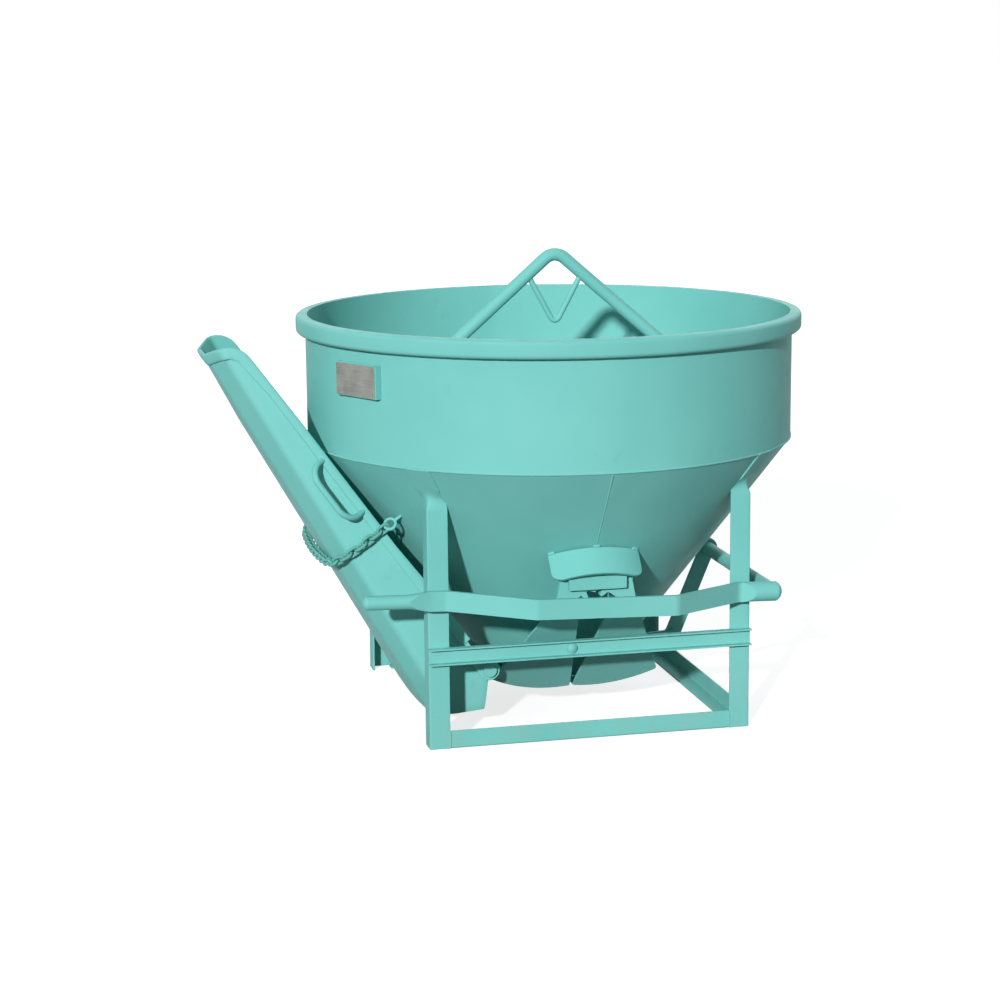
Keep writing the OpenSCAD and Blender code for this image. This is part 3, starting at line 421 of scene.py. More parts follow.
def cone_outline(turn):
    steps = 24
    outline = []
    for thick, order in ((0, range(steps + 1)), (cone_wall, range(steps, -1, -1))):
        foot = cone_foot(turn, thick)
        for n in order:
            z = foot + (wall_low - foot) * n / steps
            outline.append((cone_r(z) - thick + sheet_swell(turn, z), z))
    return outline


piece(
    "hopper_cone_sheet",
    skin(turned(cone_outline), True, True),
    teal,
    "bucket",
    "teal_paint",
    "hopper_cone",
)


# Rim hoop
# A flat bar rolled to a ring round the top of the wall, with its outer edges rounded
# by use. It is welded to the wall from below.
rim_r, rim_low = 0.500, 0.755
rim_round = 0.008


def rim_outline(turn):
    outline = [(wall_r, rim_low)]
    for centre_z, first in ((rim_low + rim_round, -90), (wall_top - rim_round, 0)):
        for n in range(7):
            bend = math.radians(first + 15 * n)
            r = rim_r - rim_round + rim_round * math.cos(bend)
            outline.append((r, centre_z + rim_round * math.sin(bend)))
    outline.append((wall_r, wall_top))
    bow = 0.0006 * math.sin(2 * turn + 0.4) - 0.0006
    return [(r + (bow if r > wall_r + 0.001 else 0), z) for r, z in outline]


piece(
    "rim_hoop_bar", skin(turned(rim_outline), True, True), teal, "bucket", "teal_paint", "rim_hoop"
)


# Lifting bail and hook keeper
# A round bar bent over the mouth and welded inside the cone, with a thinner bar in a V
# under its crown, which keeps the crane's hook in place.
def rod_rings(path, radius, around=28):
    """Rings of points square to a path in the plane of its bends."""
    rings = []
    side = None
    for n, here in enumerate(path):
        before, after = path[max(n - 1, 0)], path[min(n + 1, len(path) - 1)]
        along = (after - before).normalized()
        if side is None:
            side = along.orthogonal().normalized()
        side = (side - along * side.dot(along)).normalized()
        across = along.cross(side)
        rings.append(
            [
                here
                + radius
                * (
                    math.cos(2 * math.pi * k / around) * side
                    + math.sin(2 * math.pi * k / around) * across
                )
                for k in range(around)
            ]
        )
    return rings


def bent_path(corners, bend_r, steps=14, spacing=0.03):
    """Points on straight runs between corners, with an arc of a radius at each."""
    path = [corners[0]]
    for before, corner, after in zip(corners, corners[1:], corners[2:]):
        back, on = (before - corner).normalized(), (after - corner).normalized()
        opening = back.angle(on)
        cut = bend_r / math.tan(opening / 2)
        centre = corner + (back + on).normalized() * (bend_r / math.sin(opening / 2))
        first, last = corner + back * cut, corner + on * cut
        for n in range(steps + 1):
            spoke = (first - centre).slerp(last - centre, n / steps)
            path.append(centre + spoke.normalized() * bend_r)
    path.append(corners[-1])
    whole = [path[0]]
    for point in path[1:]:
        gap = (point - whole[-1]).length
        whole.extend(
            whole[-1].lerp(point, n / max(1, math.ceil(gap / spacing)))
            for n in range(1, math.ceil(gap / spacing))
        )
        whole.append(point)
    return whole


bail_r, bail_bend_r = 0.0125, 0.030
bail_crown = Vector((0.014, 0, 0.8685 + 0.030 / math.cos(math.radians(41))))
bail_right, bail_left = Vector((0.4593, 0, 0.5211)), Vector((-0.4481, 0, 0.5065))
bail_path = bent_path([bail_right, bail_crown, bail_left], bail_bend_r)
piece(
    "bail_bar",
    skin(rod_rings(bail_path, bail_r), caps=True),
    teal,
    "bucket",
    "teal_paint",
    "lifting_bail",
)
keeper_r = 0.0055
keeper_path = bent_path(
    [Vector((0.069, 0, 0.8604)), Vector((0.014, 0, 0.7585)), Vector((-0.041, 0, 0.8604))],
    0.009,
    spacing=0.015,
)
piece(
    "keeper_bar",
    skin(rod_rings(keeper_path, keeper_r, 18), caps=True),
    teal,
    "bucket",
    "teal_paint",
    "hook_keeper",
)


# Legs and base rails
# Rolled steel angle with soft edges. Each leg ends in a tab that is hammered flat on
# the cone and welded; rails join the feet at the front, the rear and the right.
def eased(node, edge=0.0012, steps=2, crease=34):
    """A CAD node's own shape with its sharp edges rounded, and those marked for wear."""
    work = bmesh.new()
    work.from_mesh(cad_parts[node].data)
    bmesh.ops.remove_doubles(work, verts=work.verts, dist=2e-6)
    bmesh.ops.dissolve_limit(
        work, angle_limit=math.radians(0.4), verts=work.verts, edges=work.edges
    )
    return settle(work, edge, steps, crease)


def dress(body, slot, material, edge, *nodes):
    """Each node in the group as an eased piece with a finish."""
    for node in nodes:
        made = piece(node + "_finished", eased(node, edge), material, body, slot, node)
        even = made.modifiers.new("even_normals", "WEIGHTED_NORMAL")
        even.keep_sharp = True


leg_x, leg_y, leg_w, leg_t = 0.316, 0.324, 0.040, 0.004
tab_half, tab_from, tab_flat = 0.024, 0.458, 0.500


def leg_section(across, along):
    """Outside and inside of the angle in plan, from the toe of one flange to the other's."""
    outside, inside = [], []
    for n in range(5):
        x = across - leg_w + (leg_w - 0.003) * n / 4
        outside.append((x, along))
        inside.append((min(x, across - 0.009), along - leg_t))
    for turn in (30, 60):
        bend = math.radians(turn)
        outside.append(
            (across - 0.003 * (1 - math.sin(bend)), along - 0.003 * (1 - math.cos(bend)))
        )
        inside.append(
            (across - 0.009 + 0.005 * math.sin(bend), along - 0.009 + 0.005 * math.cos(bend))
        )
    for n in range(5):
        y = along - 0.003 - (leg_w - 0.003) * n / 4
        outside.append((across, y))
        inside.append((across - leg_t, min(y, along - 0.009)))
    return outside, inside


def leg_mesh(side_x, side_y):
    """An angle that is hammered out flat on the cone above the end of its flanges."""
    outside, inside = leg_section(leg_x, leg_y)
    outward = Vector((leg_x, leg_y, 0)).normalized()
    aside = Vector((-outward.y, outward.x, 0))
    heights = [0.0, 0.15, 0.30, 0.42]
    heights += [tab_from + (tab_flat - tab_from) * n / 12 for n in range(13)]
    heights += [0.512, 0.525, 0.536, 0.5425]
    fronts, backs = [], []
    for z in heights:
        flat = min(max((z - tab_from) / (tab_flat - tab_from), 0), 1)
        flat = flat * flat * (3 - 2 * flat)
        front, back = [], []
        for n, (out, inn) in enumerate(zip(outside, inside)):
            reach = tab_half * (1 - 2 * n / (len(outside) - 1))
            for row, spot, stand in ((front, out, leg_t), (back, inn, -0.0008)):
                radius = math.sqrt((cone_r(z) + stand) ** 2 - reach**2)
                laid = outward * radius + aside * reach
                point = Vector((*spot, 0)).lerp(laid, flat)
                row.append((side_x * point.x, side_y * point.y, z))
        fronts.append(front)
        backs.append(back)
    return plate(fronts, backs, 0.0012)


for leg, side_x, side_y in (
    ("leg_front_left", -1, -1),
    ("leg_front_right", 1, -1),
    ("leg_rear_left", -1, 1),
    ("leg_rear_right", 1, 1),
):
    made = piece(leg + "_angle", leg_mesh(side_x, side_y), teal, "bucket", "teal_paint", leg)
    made.modifiers.new("even_normals", "WEIGHTED_NORMAL").keep_sharp = True
dress(
    "bucket",
    "teal_paint",
    teal,
    0.0014,
    "base_rail_front",
    "base_rail_rear",
    "base_rail_right",
)


# Cross channels with their bolts
# Pressed channels welded across the legs, open outwards, each with one round-headed
# bolt and its nut. All were sprayed with the rest.
dress(
    "bucket",
    "teal_paint",
    teal,
    0.0010,
    "channel_front",
    "channel_rear",
    "channel_bolts",
    "channel_nuts",
)


dome_r, dome_rise = 0.0102, 0.0078
bolt_x, bolt_z, web_face = -0.040, 0.182, 0.327
for side, name in ((-1, "bolt_dome_front"), (1, "bolt_dome_rear")):
    rings = []
    for n in range(9):
        lean = math.pi / 2 * n / 8
        out = 0.0012 + dome_rise * math.sin(lean) if n else 0.0
        radius = dome_r * math.cos(lean) + 1e-5
        rings.append(
            [
                (
                    bolt_x + radius * math.cos(2 * math.pi * k / 24),
                    side * (web_face + out),
                    bolt_z + radius * math.sin(2 * math.pi * k / 24),
                )
                for k in range(24)
            ]
        )
    piece(name, skin(rings, caps=True), teal, "bucket", "teal_paint")


# Gate bearings, straps and hoods
# Bosses welded on the cone carry the pivot pins. A strap ties the two pin ends on each
# side, and a curved hood welded to the cone keeps concrete off the gears.
dress(
    "bucket",
    "teal_paint",
    teal,
    0.0009,
    "pivot_bosses",
    "pivot_pins",
    "thrust_washers",
)
pin_cover, strap_edge = 0.0006, 0.0011
pin_low, pin_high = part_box("pivot_pins")
for strap, pin_end in (("pin_strap_front", pin_low[1]), ("pin_strap_rear", pin_high[1])):
    low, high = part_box(strap)
    near = high[1] if pin_end < 0 else low[1]
    far = pin_end + math.copysign(pin_cover, pin_end)
    heights = [low[2] + (high[2] - low[2]) * n / 4 for n in range(5)]
    across = [low[0] + (high[0] - low[0]) * n / 12 for n in range(13)]
    made = piece(
        strap + "_bar",
        plate(
            [[(x, far, z) for x in across] for z in heights],
            [[(x, near, z) for x in across] for z in heights],
            strap_edge,
        ),
        teal,
        "bucket",
        "teal_paint",
        strap,
    )
    made.modifiers.new("even_normals", "WEIGHTED_NORMAL").keep_sharp = True
hood_y, hood_low, hood_round, hood_half, hood_t = 0.3976, 0.340, 0.150, 0.088, 0.006
hood_corner, hood_gap = 0.020, 0.0035


def hood_place(x, t, round_r):
    """Point on the hood's face at a place across it and up it."""
    lean = math.asin(x / hood_round)
    curl = hood_round - round_r * math.cos(lean)
    return (
        round_r * math.sin(lean),
        -hood_y + 0.766 * curl + 0.643 * t,
        hood_low - 0.643 * curl + 0.766 * t,
    )


def hood_reach(x):
    """How far up the hood's face the cone is met."""
    low, high = 0.0, 0.15
    for _ in range(30):
        t = (low + high) / 2
        px, py, pz = hood_place(x, t, hood_round)
        if math.hypot(px, py) > cone_r(pz):
            low = t
        else:
            high = t
    return low


for side, node in ((1, "gear_hood_front"), (-1, "gear_hood_rear")):
    face, back = [], []
    for n in range(45):
        x = hood_half * math.sin(math.pi / 2 * (2 * n / 44 - 1))
        over = max(0, abs(x) - hood_half + hood_corner)
        first = hood_corner - math.sqrt(max(hood_corner**2 - over**2, 0))
        last = hood_reach(x) - hood_gap * (1 if abs(x) < 0.080 else 0)
        for row, radius in ((face, hood_round), (back, hood_round - hood_t)):
            row.append(
                [
                    (p[0], side * p[1], p[2])
                    for p in (
                        hood_place(x, first + (last - first) * k / 8, radius) for k in range(9)
                    )
                ]
            )
    made = piece(node + "_plate", plate(face, back, 0.0011), teal, "bucket", "teal_paint", node)
    made.modifiers.new("even_normals", "WEIGHTED_NORMAL").keep_sharp = True


# Gate halves
# Each half is a shell of rolled plate between two cheeks. Toothed sectors on the cheeks
# mesh at front and rear, so that both halves open together.
dress(
    "left_gate",
    "teal_paint",
    teal,
    0.0009,
    "gate_left_shell",
    "gate_left_cheek_front",
    "gate_left_cheek_rear",
    "gear_left_front",
    "gear_left_rear",
)
dress(
    "right_gate",
    "teal_paint",
    teal,
    0.0009,
    "gate_right_shell",
    "gate_right_cheek_front",
    "gate_right_cheek_rear",
    "gear_right_front",
    "gear_right_rear",
    "link_lugs",
    "link_pin",
)


# Lever and link
# Two flat bars bent round the cone, drawn round at the ends, joined by a tube at the
# right. A flat link runs from the tube down to the right gate half.
dress(
    "lever",
    "teal_paint",
    teal,
    0.0014,
    "lever_front_bar",
    "lever_rear_bar",
    "lever_cross_tube",
    "lever_pivot_pins",
    "lever_pin_collars",
)
dress("link", "teal_paint", teal, 0.0010, "gate_link")


# Chute
# A folded and welded trough of sheet with strips along its edges, a band round the tip,
# a bent handle and a hinge at the wide end. It is stowed against the hopper.
chute_lean = math.radians(54.7)
chute_place = Matrix.Translation((-0.183, 0, 0.129)) @ Matrix.Rotation(chute_lean, 4, "Y")
taper_at, tip_at, sheet_t, belly = -0.06256, -0.782, 0.004, 0.006
wide_half, half_loss, wide_deep, deep_loss = 0.235, 0.135, 0.141, 0.075
tip_round, tip_back = 0.048, 0.002
fold_r, fold_rise, low_bend, high_bend = 0.016, 0.031, math.radians(30), math.radians(60)
tail_top_x, tail_knee_x, tail_knee_z = 0.0063, 0.0626, -0.0522
tail_fall_high, tail_fall_low = 1.0785, 0.5754


def trough_half(x):
    """Half the trough's width at a place along it."""
    return wide_half - half_loss * max(0, taper_at - x) / (taper_at - tip_at)


def trough_across(x, f, inset):
    """Place across and height on the trough's twice-folded section, from edge to edge."""
    half = trough_half(x) - inset
    deep = wide_deep - deep_loss * max(0, -x) / -tip_at - inset
    cut = fold_rise - inset * (1 - math.tan(high_bend / 2))
    bend_r = fold_r - inset
    low_lost, high_lost = bend_r * math.tan(low_bend / 2), bend_r * math.tan(high_bend / 2)
    corner = half - cut * math.tan(high_bend)
    floor_half = corner - low_lost
    low_end = floor_half + bend_r * low_bend
    slope_end = low_end + cut / math.cos(high_bend) - low_lost - high_lost
    high_end = slope_end + bend_r * high_bend
    away = abs(f) * (high_end + deep - cut - high_lost)
    if away < floor_half:
        crown = belly * min(1, max(0, (x - tip_at) / 0.15))
        across, height = away, -deep - crown * (1 - (away / floor_half) ** 2)
    elif away < low_end:
        turn = (away - floor_half) / bend_r
        across = floor_half + bend_r * math.sin(turn)
        height = -deep + bend_r * (1 - math.cos(turn))
    elif away < slope_end:
        run = low_lost + away - low_end
        across, height = corner + run * math.sin(high_bend), -deep + run * math.cos(high_bend)
    elif away < high_end:
        turn = low_bend + (away - slope_end) / bend_r
        across = half - bend_r * (1 - math.sin(turn))
        height = -deep + cut + high_lost - bend_r * math.cos(turn)
    else:
        across, height = half, -deep + cut + high_lost + away - high_end
    return math.copysign(across, f), height


def trough_place(s, f, inset=0.0):
    """Point on the trough: s from the tip to the wide end, f from one free edge to the other."""
    x = tip_at * (1 - s)
    for _ in range(5):
        across, height = trough_across(x, f, inset)
        z = min(height, 0)
        tip = tip_at - tip_back
        if z > -tip_round:
            tip += tip_round * (1 - math.sqrt(max(0, 1 - ((z + tip_round) / tip_round) ** 2)))
        if z > tail_knee_z:
            tail = tail_top_x - tail_fall_high * z
        else:
            tail = tail_knee_x + tail_fall_low * (z - tail_knee_z)
        x = tip + s * (tail - tip)
    across, height = trough_across(x, f, inset)
    return chute_place @ Vector((x, across, height))


stations = [(n / 64) ** 1.3 for n in range(65)]
columns = [math.sin(math.pi / 2 * (2 * n / 90 - 1)) for n in range(91)]
piece(
    "chute_trough_sheet",
    plate(
        [[trough_place(s, f) for f in columns] for s in stations],
        [[trough_place(s, f, sheet_t) for f in columns] for s in stations],
        0.0008,
        40,
    ),
    teal,
    "chute",
    "teal_paint",
    "chute_trough",
)
strip_end, strip_w, strip_rise, strip_foot = 0.90, 0.015, 0.0038, -0.001
tip_extra_w, edge_extra_rise = 0.007, 0.0022
strip_spots = [(strip_end * (1 - n / 60), -1.0) for n in range(60)]
strip_spots += [(0.0, f) for f in columns]
strip_spots += [(strip_end * (n + 1) / 60, 1.0) for n in range(60)]
strip_line = [trough_place(s, f) for s, f in strip_spots]
strip_rows = []
for n, (s, f) in enumerate(strip_spots):
    here = strip_line[n]
    along = (strip_line[min(n + 1, len(strip_line) - 1)] - strip_line[max(n - 1, 0)]).normalized()
    to_tail = trough_place(s + 0.004, f) - here
    to_floor = trough_place(s, f * 0.985 if abs(f) > 0.2 else f + 0.01) - here
    out = to_tail.cross(to_floor).normalized()
    local = chute_place.inverted() @ here
    if out.dot(here - chute_place @ Vector((local.x, 0, 0.05))) < 0:
        out = -out
    inward = out.cross(along).normalized()
    if inward.dot(to_tail.normalized() + to_floor.normalized() * (1 if abs(f) > 0.9 else 0)) < 0:
        inward = -inward
    at_tip = max(0, 1 - s / 0.10)
    width = strip_w + tip_extra_w * at_tip
    proud = -0.03 - 0.17 * min(1, s / 0.2) - 0.27 * min(1, max(0, (s - 0.6) / 0.12))
    rise = strip_rise + edge_extra_rise * min(1, max(0, (0.52 - s) / 0.2)) * min(1, s / 0.08)
    strip_rows.append(
        [
            here + inward * width * across + out * height
            for across, height in (
                (proud, strip_foot),
                (proud, rise * 0.55),
                (proud + 0.09, rise * 0.9),
                (0.22, rise),
                (0.75, rise),
                (0.93, rise * 0.88),
                (1.0, rise * 0.5),
                (1.0, strip_foot),
            )
        ]
    )
piece(
    "chute_edge_strip",
    skin(strip_rows, caps=True, crease=60),
    teal,
    "chute",
    "teal_paint",
    "chute_edge_strips",
    "chute_tip_band",
)
handle_place = (
    chute_place
    @ Matrix.Translation((-0.443, -0.1636, -0.007))
    @ Matrix.Rotation(-math.radians(10.63), 4, "Z")
    @ Matrix.Rotation(math.radians(46), 4, "X")
)
handle_half, handle_reach, handle_foot = 0.062, 0.050, 0.004
handle_bend_r, handle_r = 0.0336, 0.006
handle_path = bent_path(
    [
        handle_place @ Vector(corner)
        for corner in (
            (-handle_half, handle_foot, 0),
            (-handle_half, -handle_reach, 0),
            (handle_half, -handle_reach, 0),
            (handle_half, handle_foot, 0),
        )
    ],
    handle_bend_r,
)
piece(
    "chute_handle_bar",
    skin(rod_rings(handle_path, handle_r, 20), caps=True),
    teal,
    "chute",
    "teal_paint",
    "chute_handle",
)
ear_r, ear_hole, ear_near, ear_far = 0.0208, 0.0083, 0.2345, 0.243
ears = bmesh.new()
for side in (-1, 1):
    spokes = []
    for n in range(48):
        turn = 2 * math.pi * n / 48
        spokes.append(
            [
                ears.verts.new(
                    (
                        chute_place.translation.x + r * math.cos(turn),
                        side * y,
                        chute_place.translation.z + r * math.sin(turn),
                    )
                )
                for r, y in (
                    (ear_hole, ear_near),
                    (ear_r, ear_near),
                    (ear_r, ear_far - 0.001),
                    (ear_r - 0.001, ear_far),
                    (ear_hole, ear_far),
                )
            ]
        )
    for n, spoke in enumerate(spokes):
        following = spokes[(n + 1) % len(spokes)]
        for k in range(len(spoke)):
            m = (k + 1) % len(spoke)
            ears.faces.new((spoke[k], spoke[m], following[m], following[k]))
piece("chute_hinge_ear_eyes", settle(ears), teal, "chute", "teal_paint", "chute_hinge_ears")
dress("bucket", "teal_paint", teal, 0.0010, "chute_hangers", "chute_hinge_pins", "chain_eyes")


# Chain
# Welded links of round wire, each turned a quarter against the next, round the outside
# of the trough and up to an eye on the cone at both ends.
def inlet(tree, name, kind):
    """A named input of a tree, with its socket in the group's input node."""
    return tree.interface.new_socket(name, in_out="INPUT", socket_type=kind).identifier


def chain_links_tree():
    """Links of bent wire set on points that carry their turn."""
    tree = bpy.data.node_groups.new("chain_links", "GeometryNodeTree")
    names = {
        name: inlet(tree, name, kind)
        for name, kind in (
            ("Places", "NodeSocketGeometry"),
            ("Link width", "NodeSocketFloat"),
            ("Link length", "NodeSocketFloat"),
            ("Wire radius", "NodeSocketFloat"),
            ("Finish", "NodeSocketMaterial"),
        )
    }
    tree.interface.new_socket("Links", in_out="OUTPUT", socket_type="NodeSocketGeometry")
    given = tree.nodes.new("NodeGroupInput").outputs
    frame_curve = add(
        tree,
        "GeometryNodeCurvePrimitiveQuadrilateral",
        Width=given["Link width"],
        Height=given["Link length"],
    )
    half = sums(tree, "MULTIPLY", given["Link width"], 0.499)
    bends = add(
        tree,
        "GeometryNodeFilletCurve",
        Curve=frame_curve.outputs[0],
        Radius=half,
        Limit_Radius=True,
    )
    bends.mode = "POLY"
    put(tree, bends, "Count", 6)
    wire = add(tree, "GeometryNodeCurvePrimitiveCircle", Resolution=9, Radius=given["Wire radius"])
    link = add(
        tree, "GeometryNodeCurveToMesh", Curve=bends.outputs[0], Profile_Curve=wire.outputs[0]
    )
    turn = tree.nodes.new("GeometryNodeInputNamedAttribute")
    turn.data_type = "FLOAT_VECTOR"
    put(tree, turn, "Name", "turn")
    turned_by = add(tree, "FunctionNodeEulerToRotation", Euler=turn.outputs[0])
    copies = add(
        tree,
        "GeometryNodeInstanceOnPoints",
        Points=given["Places"],
        Instance=link.outputs[0],
        Rotation=turned_by.outputs[0],
    )
    solid = add(tree, "GeometryNodeRealizeInstances", Geometry=copies.outputs[0])
    soft = add(tree, "GeometryNodeSetShadeSmooth", Geometry=solid.outputs[0])
    finish = add(
        tree, "GeometryNodeSetMaterial", Geometry=soft.outputs[0], Material=given["Finish"]
    )
    add(tree, "NodeGroupOutput", Links=finish.outputs[0])
    return tree, names


def grown(base, tree, names, values):
    """The mesh that a node tree makes from a base mesh."""
    carrier = bpy.data.objects.new("carrier", base)
    scene.collection.objects.link(carrier)
    grower = carrier.modifiers.new("grower", "NODES")
    grower.node_group = tree
    for name, value in values.items():
        grower[names[name]] = value
    bpy.context.view_layer.update()
    graph = bpy.context.evaluated_depsgraph_get()
    mesh = bpy.data.meshes.new_from_object(carrier.evaluated_get(graph))
    carrier.modifiers.remove(grower)
    bpy.data.objects.remove(carrier)
    work = bmesh.new()
    work.from_mesh(mesh)
    bmesh.ops.recalc_face_normals(work, faces=work.faces)
    work.to_mesh(mesh)
    work.free()
    return mesh


chain_at, chain_half, chain_deep, chain_corner = 0.336, 0.19782, 0.11890, 0.062705
chain_rise, chain_start = 0.018934, 0.016688
link_step, link_count, tail_links, link_twist = 0.0177, 34, 2, 8
link_w, link_l, wire_r = 0.014, 0.0245, 0.003
run_down = chain_rise + chain_deep - chain_corner
run_bend = chain_corner * math.pi / 2
run_under = 2 * (chain_half - chain_corner)
chain_length = 2 * (run_down + run_bend) + run_under


def chain_spot(s):
    """Place across the trough, height over it and turn at a distance along the chain."""
    if s < run_down:
        return -chain_half, chain_rise - s, 0.0
    if s < run_down + run_bend:
        turn = (s - run_down) / chain_corner
        return (
            -chain_half + chain_corner * (1 - math.cos(turn)),
            -chain_deep + chain_corner * (1 - math.sin(turn)),
            turn,
        )
    if s < run_down + run_bend + run_under:
        across = -chain_half + chain_corner + s - run_down - run_bend
        sag = belly * (1 - (across / (chain_half - chain_corner)) ** 2)
        return across, -chain_deep - sag, math.pi / 2
    across, height, turn = chain_spot(chain_length - s)
    return -across, height, math.pi - turn


def chain_points(numbers):
    """Mesh of bare points with the turn of each link."""
    mesh = bpy.data.meshes.new("chain_points")
    places, turns = [], []
    for k in numbers:
        across, height, turn = chain_spot(chain_start + k * link_step)
        place = (
            chute_place
            @ Matrix.Translation((-chain_at, across, height))
            @ Matrix.Rotation(turn, 4, "X")
            @ Matrix.Rotation(math.radians(link_twist + 90 * (k % 2)), 4, "Z")
            @ Matrix.Rotation(math.pi / 2, 4, "X")
        )
        places.append(place.translation)
        turns.extend(place.to_euler("XYZ"))
    mesh.from_pydata(places, [], [])
    mesh.attributes.new("turn", "FLOAT_VECTOR", "POINT").data.foreach_set("vector", turns)
    return mesh


chain_tree, chain_names = chain_links_tree()
chain_teal = enamel("chain_enamel", tone(112, 186, 177), tone(92, 158, 150), 0.5, 0.05, 0.1)
for name, numbers, body, node in (
    ("chain_round_trough", range(tail_links, link_count - tail_links), "chute", "chute_chain"),
    (
        "chain_end_links",
        [*range(tail_links), *range(link_count - tail_links, link_count)],
        "bucket",
        "chain_tails",
    ),
):
    links = grown(
        chain_points(numbers),
        chain_tree,
        chain_names,
        {
            "Link width": link_w,
            "Link length": link_l,
            "Wire radius": wire_r,
            "Finish": chain_teal,
        },
    )
    piece(name, links, chain_teal, body, "chain_paint", node)


# Data plate
# A blank plate of brushed metal, riveted to a small painted holder on the wall.
def brushed(name, light, dark):
    """Metal with fine drawn lines and a few dull patches."""
    metal = bpy.data.materials.new(name)
    metal.use_nodes = True
    tree = metal.node_tree
    tree.nodes.clear()
    place = add(tree, "ShaderNodeTexCoord").outputs["Object"]
    stretch = add(tree, "ShaderNodeMapping", Vector=place)
    stretch.inputs["Scale"].default_value = (25, 25, 900)
    lines = noise(tree, stretch.outputs[0], 1.0, 3.0, 0.6)
    cloud = noise(tree, place, 40, 4, 0.6)
    drawn = remap(tree, sums(tree, "ADD", lines, cloud), 0.7, 1.3, 0, 1)
    colour = blended(tree, drawn, dark, light)
    rough = remap(tree, cloud, 0.3, 0.7, 0.42, 0.6)
    fine = add(tree, "ShaderNodeBump", Strength=0.08, Distance=0.0006, Height=lines)
    body = add(
        tree,
        "ShaderNodeBsdfPrincipled",
        Base_Color=colour,
        Roughness=rough,
        Normal=fine.outputs[0],
    )
    body.inputs["Metallic"].default_value = 0.75
    add(tree, "ShaderNodeOutputMaterial", Surface=body.outputs[0])
    return metal


plate_metal = brushed("brushed_plate", tone(166, 166, 160), tone(128, 128, 122))
dress("bucket", "teal_paint", teal, 0.0008, "plate_holder")
dress("bucket", "plate_metal", plate_metal, 0.0005, "data_plate", "plate_rivets")


# Weld beads
# Rippled beads where the pieces are joined by arc welding, painted over with the rest.
def weld_tree():
    """A rippled bead along the edges of a path mesh."""
    tree = bpy.data.node_groups.new("weld_bead", "GeometryNodeTree")
    names = {
        name: inlet(tree, name, kind)
        for name, kind in (
            ("Path", "NodeSocketGeometry"),
            ("Bead radius", "NodeSocketFloat"),
            ("Ripple pitch", "NodeSocketFloat"),
            ("Ripple depth", "NodeSocketFloat"),
            ("Seed", "NodeSocketFloat"),
            ("Finish", "NodeSocketMaterial"),
        )
    }
    tree.interface.new_socket("Bead", in_out="OUTPUT", socket_type="NodeSocketGeometry")
    given = tree.nodes.new("NodeGroupInput").outputs
    line = add(tree, "GeometryNodeMeshToCurve", Mesh=given["Path"])
    steps = tree.nodes.new("GeometryNodeResampleCurve")
    steps.mode = "LENGTH"
    put(tree, steps, "Curve", line.outputs[0])
    put(tree, steps, "Length", sums(tree, "MULTIPLY", given["Ripple pitch"], 0.34))
    run = tree.nodes.new("GeometryNodeSplineParameter")
    phase = sums(tree, "DIVIDE", run.outputs["Length"], given["Ripple pitch"])
    wave = sums(tree, "SINE", sums(tree, "MULTIPLY", phase, 2 * math.pi), 0.0)
    uneven = tree.nodes.new("ShaderNodeTexNoise")
    uneven.noise_dimensions = "4D"
    put(tree, uneven, "W", given["Seed"])
    put(tree, uneven, "Scale", 60.0)
    here = tree.nodes.new("GeometryNodeInputPosition")
    put(tree, uneven, "Vector", here.outputs[0])
    size = sums(
        tree,
        "ADD",
        sums(tree, "MULTIPLY", wave, given["Ripple depth"]),
        sums(tree, "ADD", sums(tree, "MULTIPLY", uneven.outputs["Fac"], 0.5), 0.75),
    )
    section = add(tree, "GeometryNodeCurvePrimitiveCircle", Resolution=8, Radius=1.0)
    bead = tree.nodes.new("GeometryNodeCurveToMesh")
    put(tree, bead, "Curve", steps.outputs[0])
    put(tree, bead, "Profile Curve", section.outputs[0])
    put(tree, bead, "Scale", sums(tree, "MULTIPLY", size, given["Bead radius"]))
    put(tree, bead, "Fill Caps", True)
    soft = add(tree, "GeometryNodeSetShadeSmooth", Geometry=bead.outputs[0])
    solid = add(tree, "GeometryNodeRealizeInstances", Geometry=soft.outputs[0])
    finish = add(
        tree, "GeometryNodeSetMaterial", Geometry=solid.outputs[0], Material=given["Finish"]
    )
    add(tree, "NodeGroupOutput", Bead=finish.outputs[0])
    return tree, names


bead_tree, bead_names = weld_tree()


def welded(name, body, radius, *paths, closed=False, pitch=0.0045, seed=1.0):
    """Beads of one size along several paths, as one piece."""
    base = bpy.data.meshes.new("bead_paths")
    points, edges = [], []
    for path in paths:
        first = len(points)
        points.extend(path)
        edges.extend((first + n, first + n + 1) for n in range(len(path) - 1))
        if closed:
            edges.append((first + len(path) - 1, first))
    base.from_pydata(points, edges, [])
    beads = grown(
        base,
        bead_tree,
        bead_names,
        {
            "Bead radius": radius,
            "Ripple pitch": pitch,
            "Ripple depth": 0.12,
            "Seed": seed,
            "Finish": teal,
        },
    )
    return piece(name, beads, teal, body, "teal_paint")


def hoop(radius, z, count=240):
    """Circle round the hopper."""
    return [
        (
            (radius + sheet_swell(2 * math.pi * n / count, z)) * math.cos(2 * math.pi * n / count),
            (radius + sheet_swell(2 * math.pi * n / count, z)) * math.sin(2 * math.pi * n / count),
            z,
        )
        for n in range(count)
    ]


def ring(centre, axis, radius, count=20):
    """Circle round a bar."""
    side = axis.orthogonal().normalized()
    across = axis.normalized().cross(side)
    return [
        centre
        + radius
        * (
            math.cos(2 * math.pi * n / count) * side
            + math.sin(2 * math.pi * n / count) * across
        )
        for n in range(count)
    ]


def run_between(first, last, count=8):
    """Straight run of points."""
    first, last = Vector(first), Vector(last)
    return [first.lerp(last, n / count) for n in range(count + 1)]


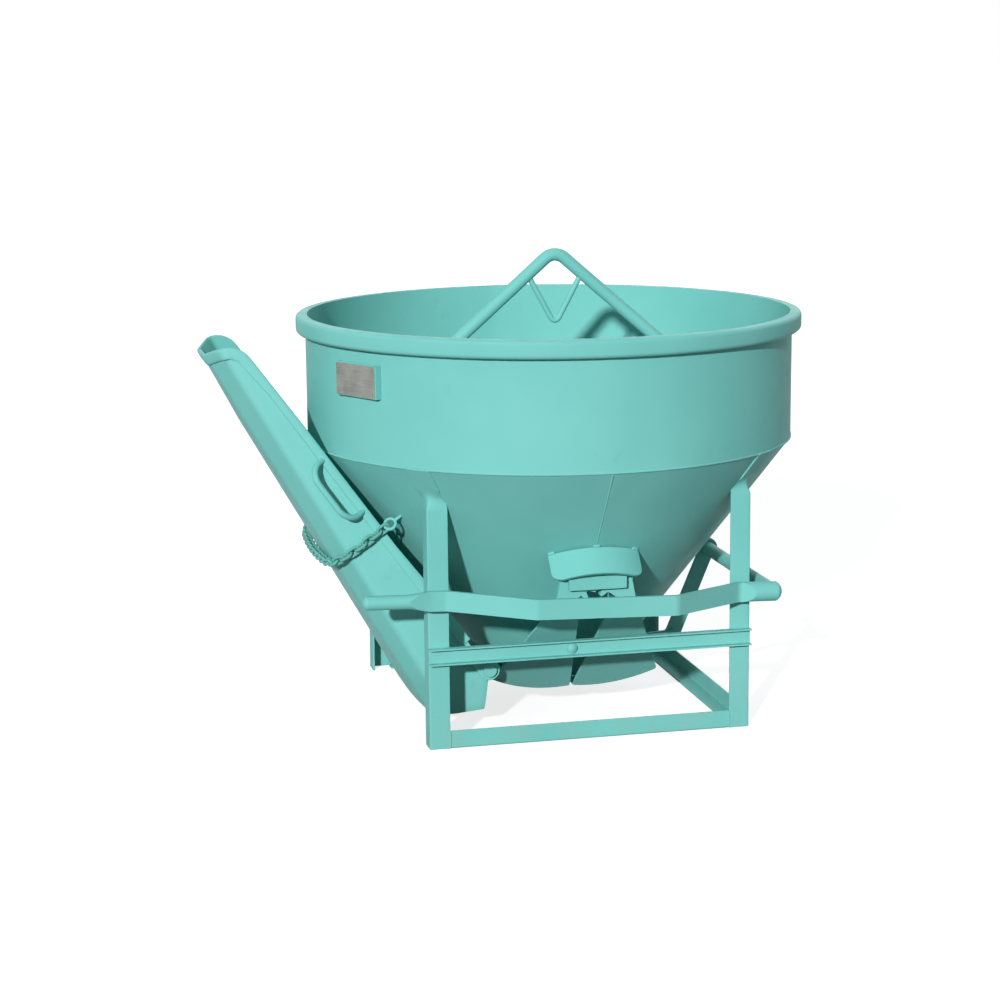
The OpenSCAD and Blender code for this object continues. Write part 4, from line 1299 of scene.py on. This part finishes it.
welded("weld_wall_to_cone", "bucket", 0.0021, hoop(wall_r - 0.0006, wall_low), closed=True)
welded("weld_under_rim", "bucket", 0.0018, hoop(wall_r + 0.0004, rim_low), closed=True, seed=2.0)
seam_heights = [0.10 + 0.44 * n / 40 for n in range(41)]
welded(
    "weld_cone_seams",
    "bucket",
    0.0016,
    *[[(0, side * (cone_r(z) + 0.0006), z) for z in seam_heights] for side in (-1, 1)],
    seed=3.0,
)
welded(
    "weld_bail_feet",
    "bucket",
    0.0028,
    *[
        ring(foot + (bail_crown - foot).normalized() * 0.004, bail_crown - foot, bail_r + 0.0008)
        for foot in (bail_right, bail_left)
    ],
    closed=True,
    seed=4.0,
)
tab_weld_low, tab_weld_rise = 0.498, 0.045
tab_runs = []
for x, y in ((-leg_x, -leg_y), (leg_x, -leg_y), (-leg_x, leg_y), (leg_x, leg_y)):
    outward = Vector((x, y, 0)).normalized()
    aside = Vector((-outward.y, outward.x, 0))
    outline = [(-1, tab_weld_low + tab_weld_rise * n / 8) for n in range(9)]
    outline += [(-1 + 2 * n / 8, wall_low) for n in range(1, 8)]
    outline += [(1, wall_low - tab_weld_rise * n / 8) for n in range(9)]
    tab_runs.append(
        [
            outward * math.sqrt((cone_r(z) + 0.001) ** 2 - (tab_half * side) ** 2)
            + aside * side * tab_half
            + Vector((0, 0, z))
            for side, z in outline
        ]
    )
welded("weld_leg_tabs", "bucket", 0.0024, *tab_runs, seed=5.0)
foot_runs = []
rail_low, rail_high, rail_x, rail_y = 0.003, 0.033, 0.276, 0.3242
side_rail_x, side_rail_y = 0.3162, 0.284
channel_x, channel_y, channel_reach = 0.296, 0.3243, 0.017
for side in (-1, 1):
    y = side * rail_y
    for x in (-rail_x, rail_x):
        foot_runs.append(run_between((x, y, rail_low), (x, y, rail_high)))
    y = side * side_rail_y
    foot_runs.append(run_between((side_rail_x, y, rail_low), (side_rail_x, y, rail_high)))
    y = side * channel_y
    for x in (-channel_x, channel_x):
        for z in (0.166, 0.198):
            foot_runs.append(run_between((x - channel_reach, y, z), (x + channel_reach, y, z)))
welded("weld_stand", "bucket", 0.0016, *foot_runs, seed=6.0)

tack_runs = []
for side in (1, -1):
    for x0, x1 in ((-0.086, -0.076), (-0.006, 0.006), (0.076, 0.086)):
        tack_runs.append(
            [
                (p[0], side * p[1], p[2])
                for p in (
                    hood_place(x, hood_reach(x) - 0.001, hood_round)
                    for x in [x0 + (x1 - x0) * n / 5 for n in range(6)]
                )
            ]
        )
welded("weld_hoods", "bucket", 0.0036, *tack_runs, seed=7.0)

tube_axis, tube_end, tube_r = Vector((0.355678, 0, 0.27252)), 0.3412, 0.0139
sideways = Vector((0, 1, 0))
welded(
    "weld_lever_tube",
    "lever",
    0.0018,
    *[ring(tube_axis + sideways * side * tube_end, sideways, tube_r) for side in (-1, 1)],
    closed=True,
    seed=8.0,
)
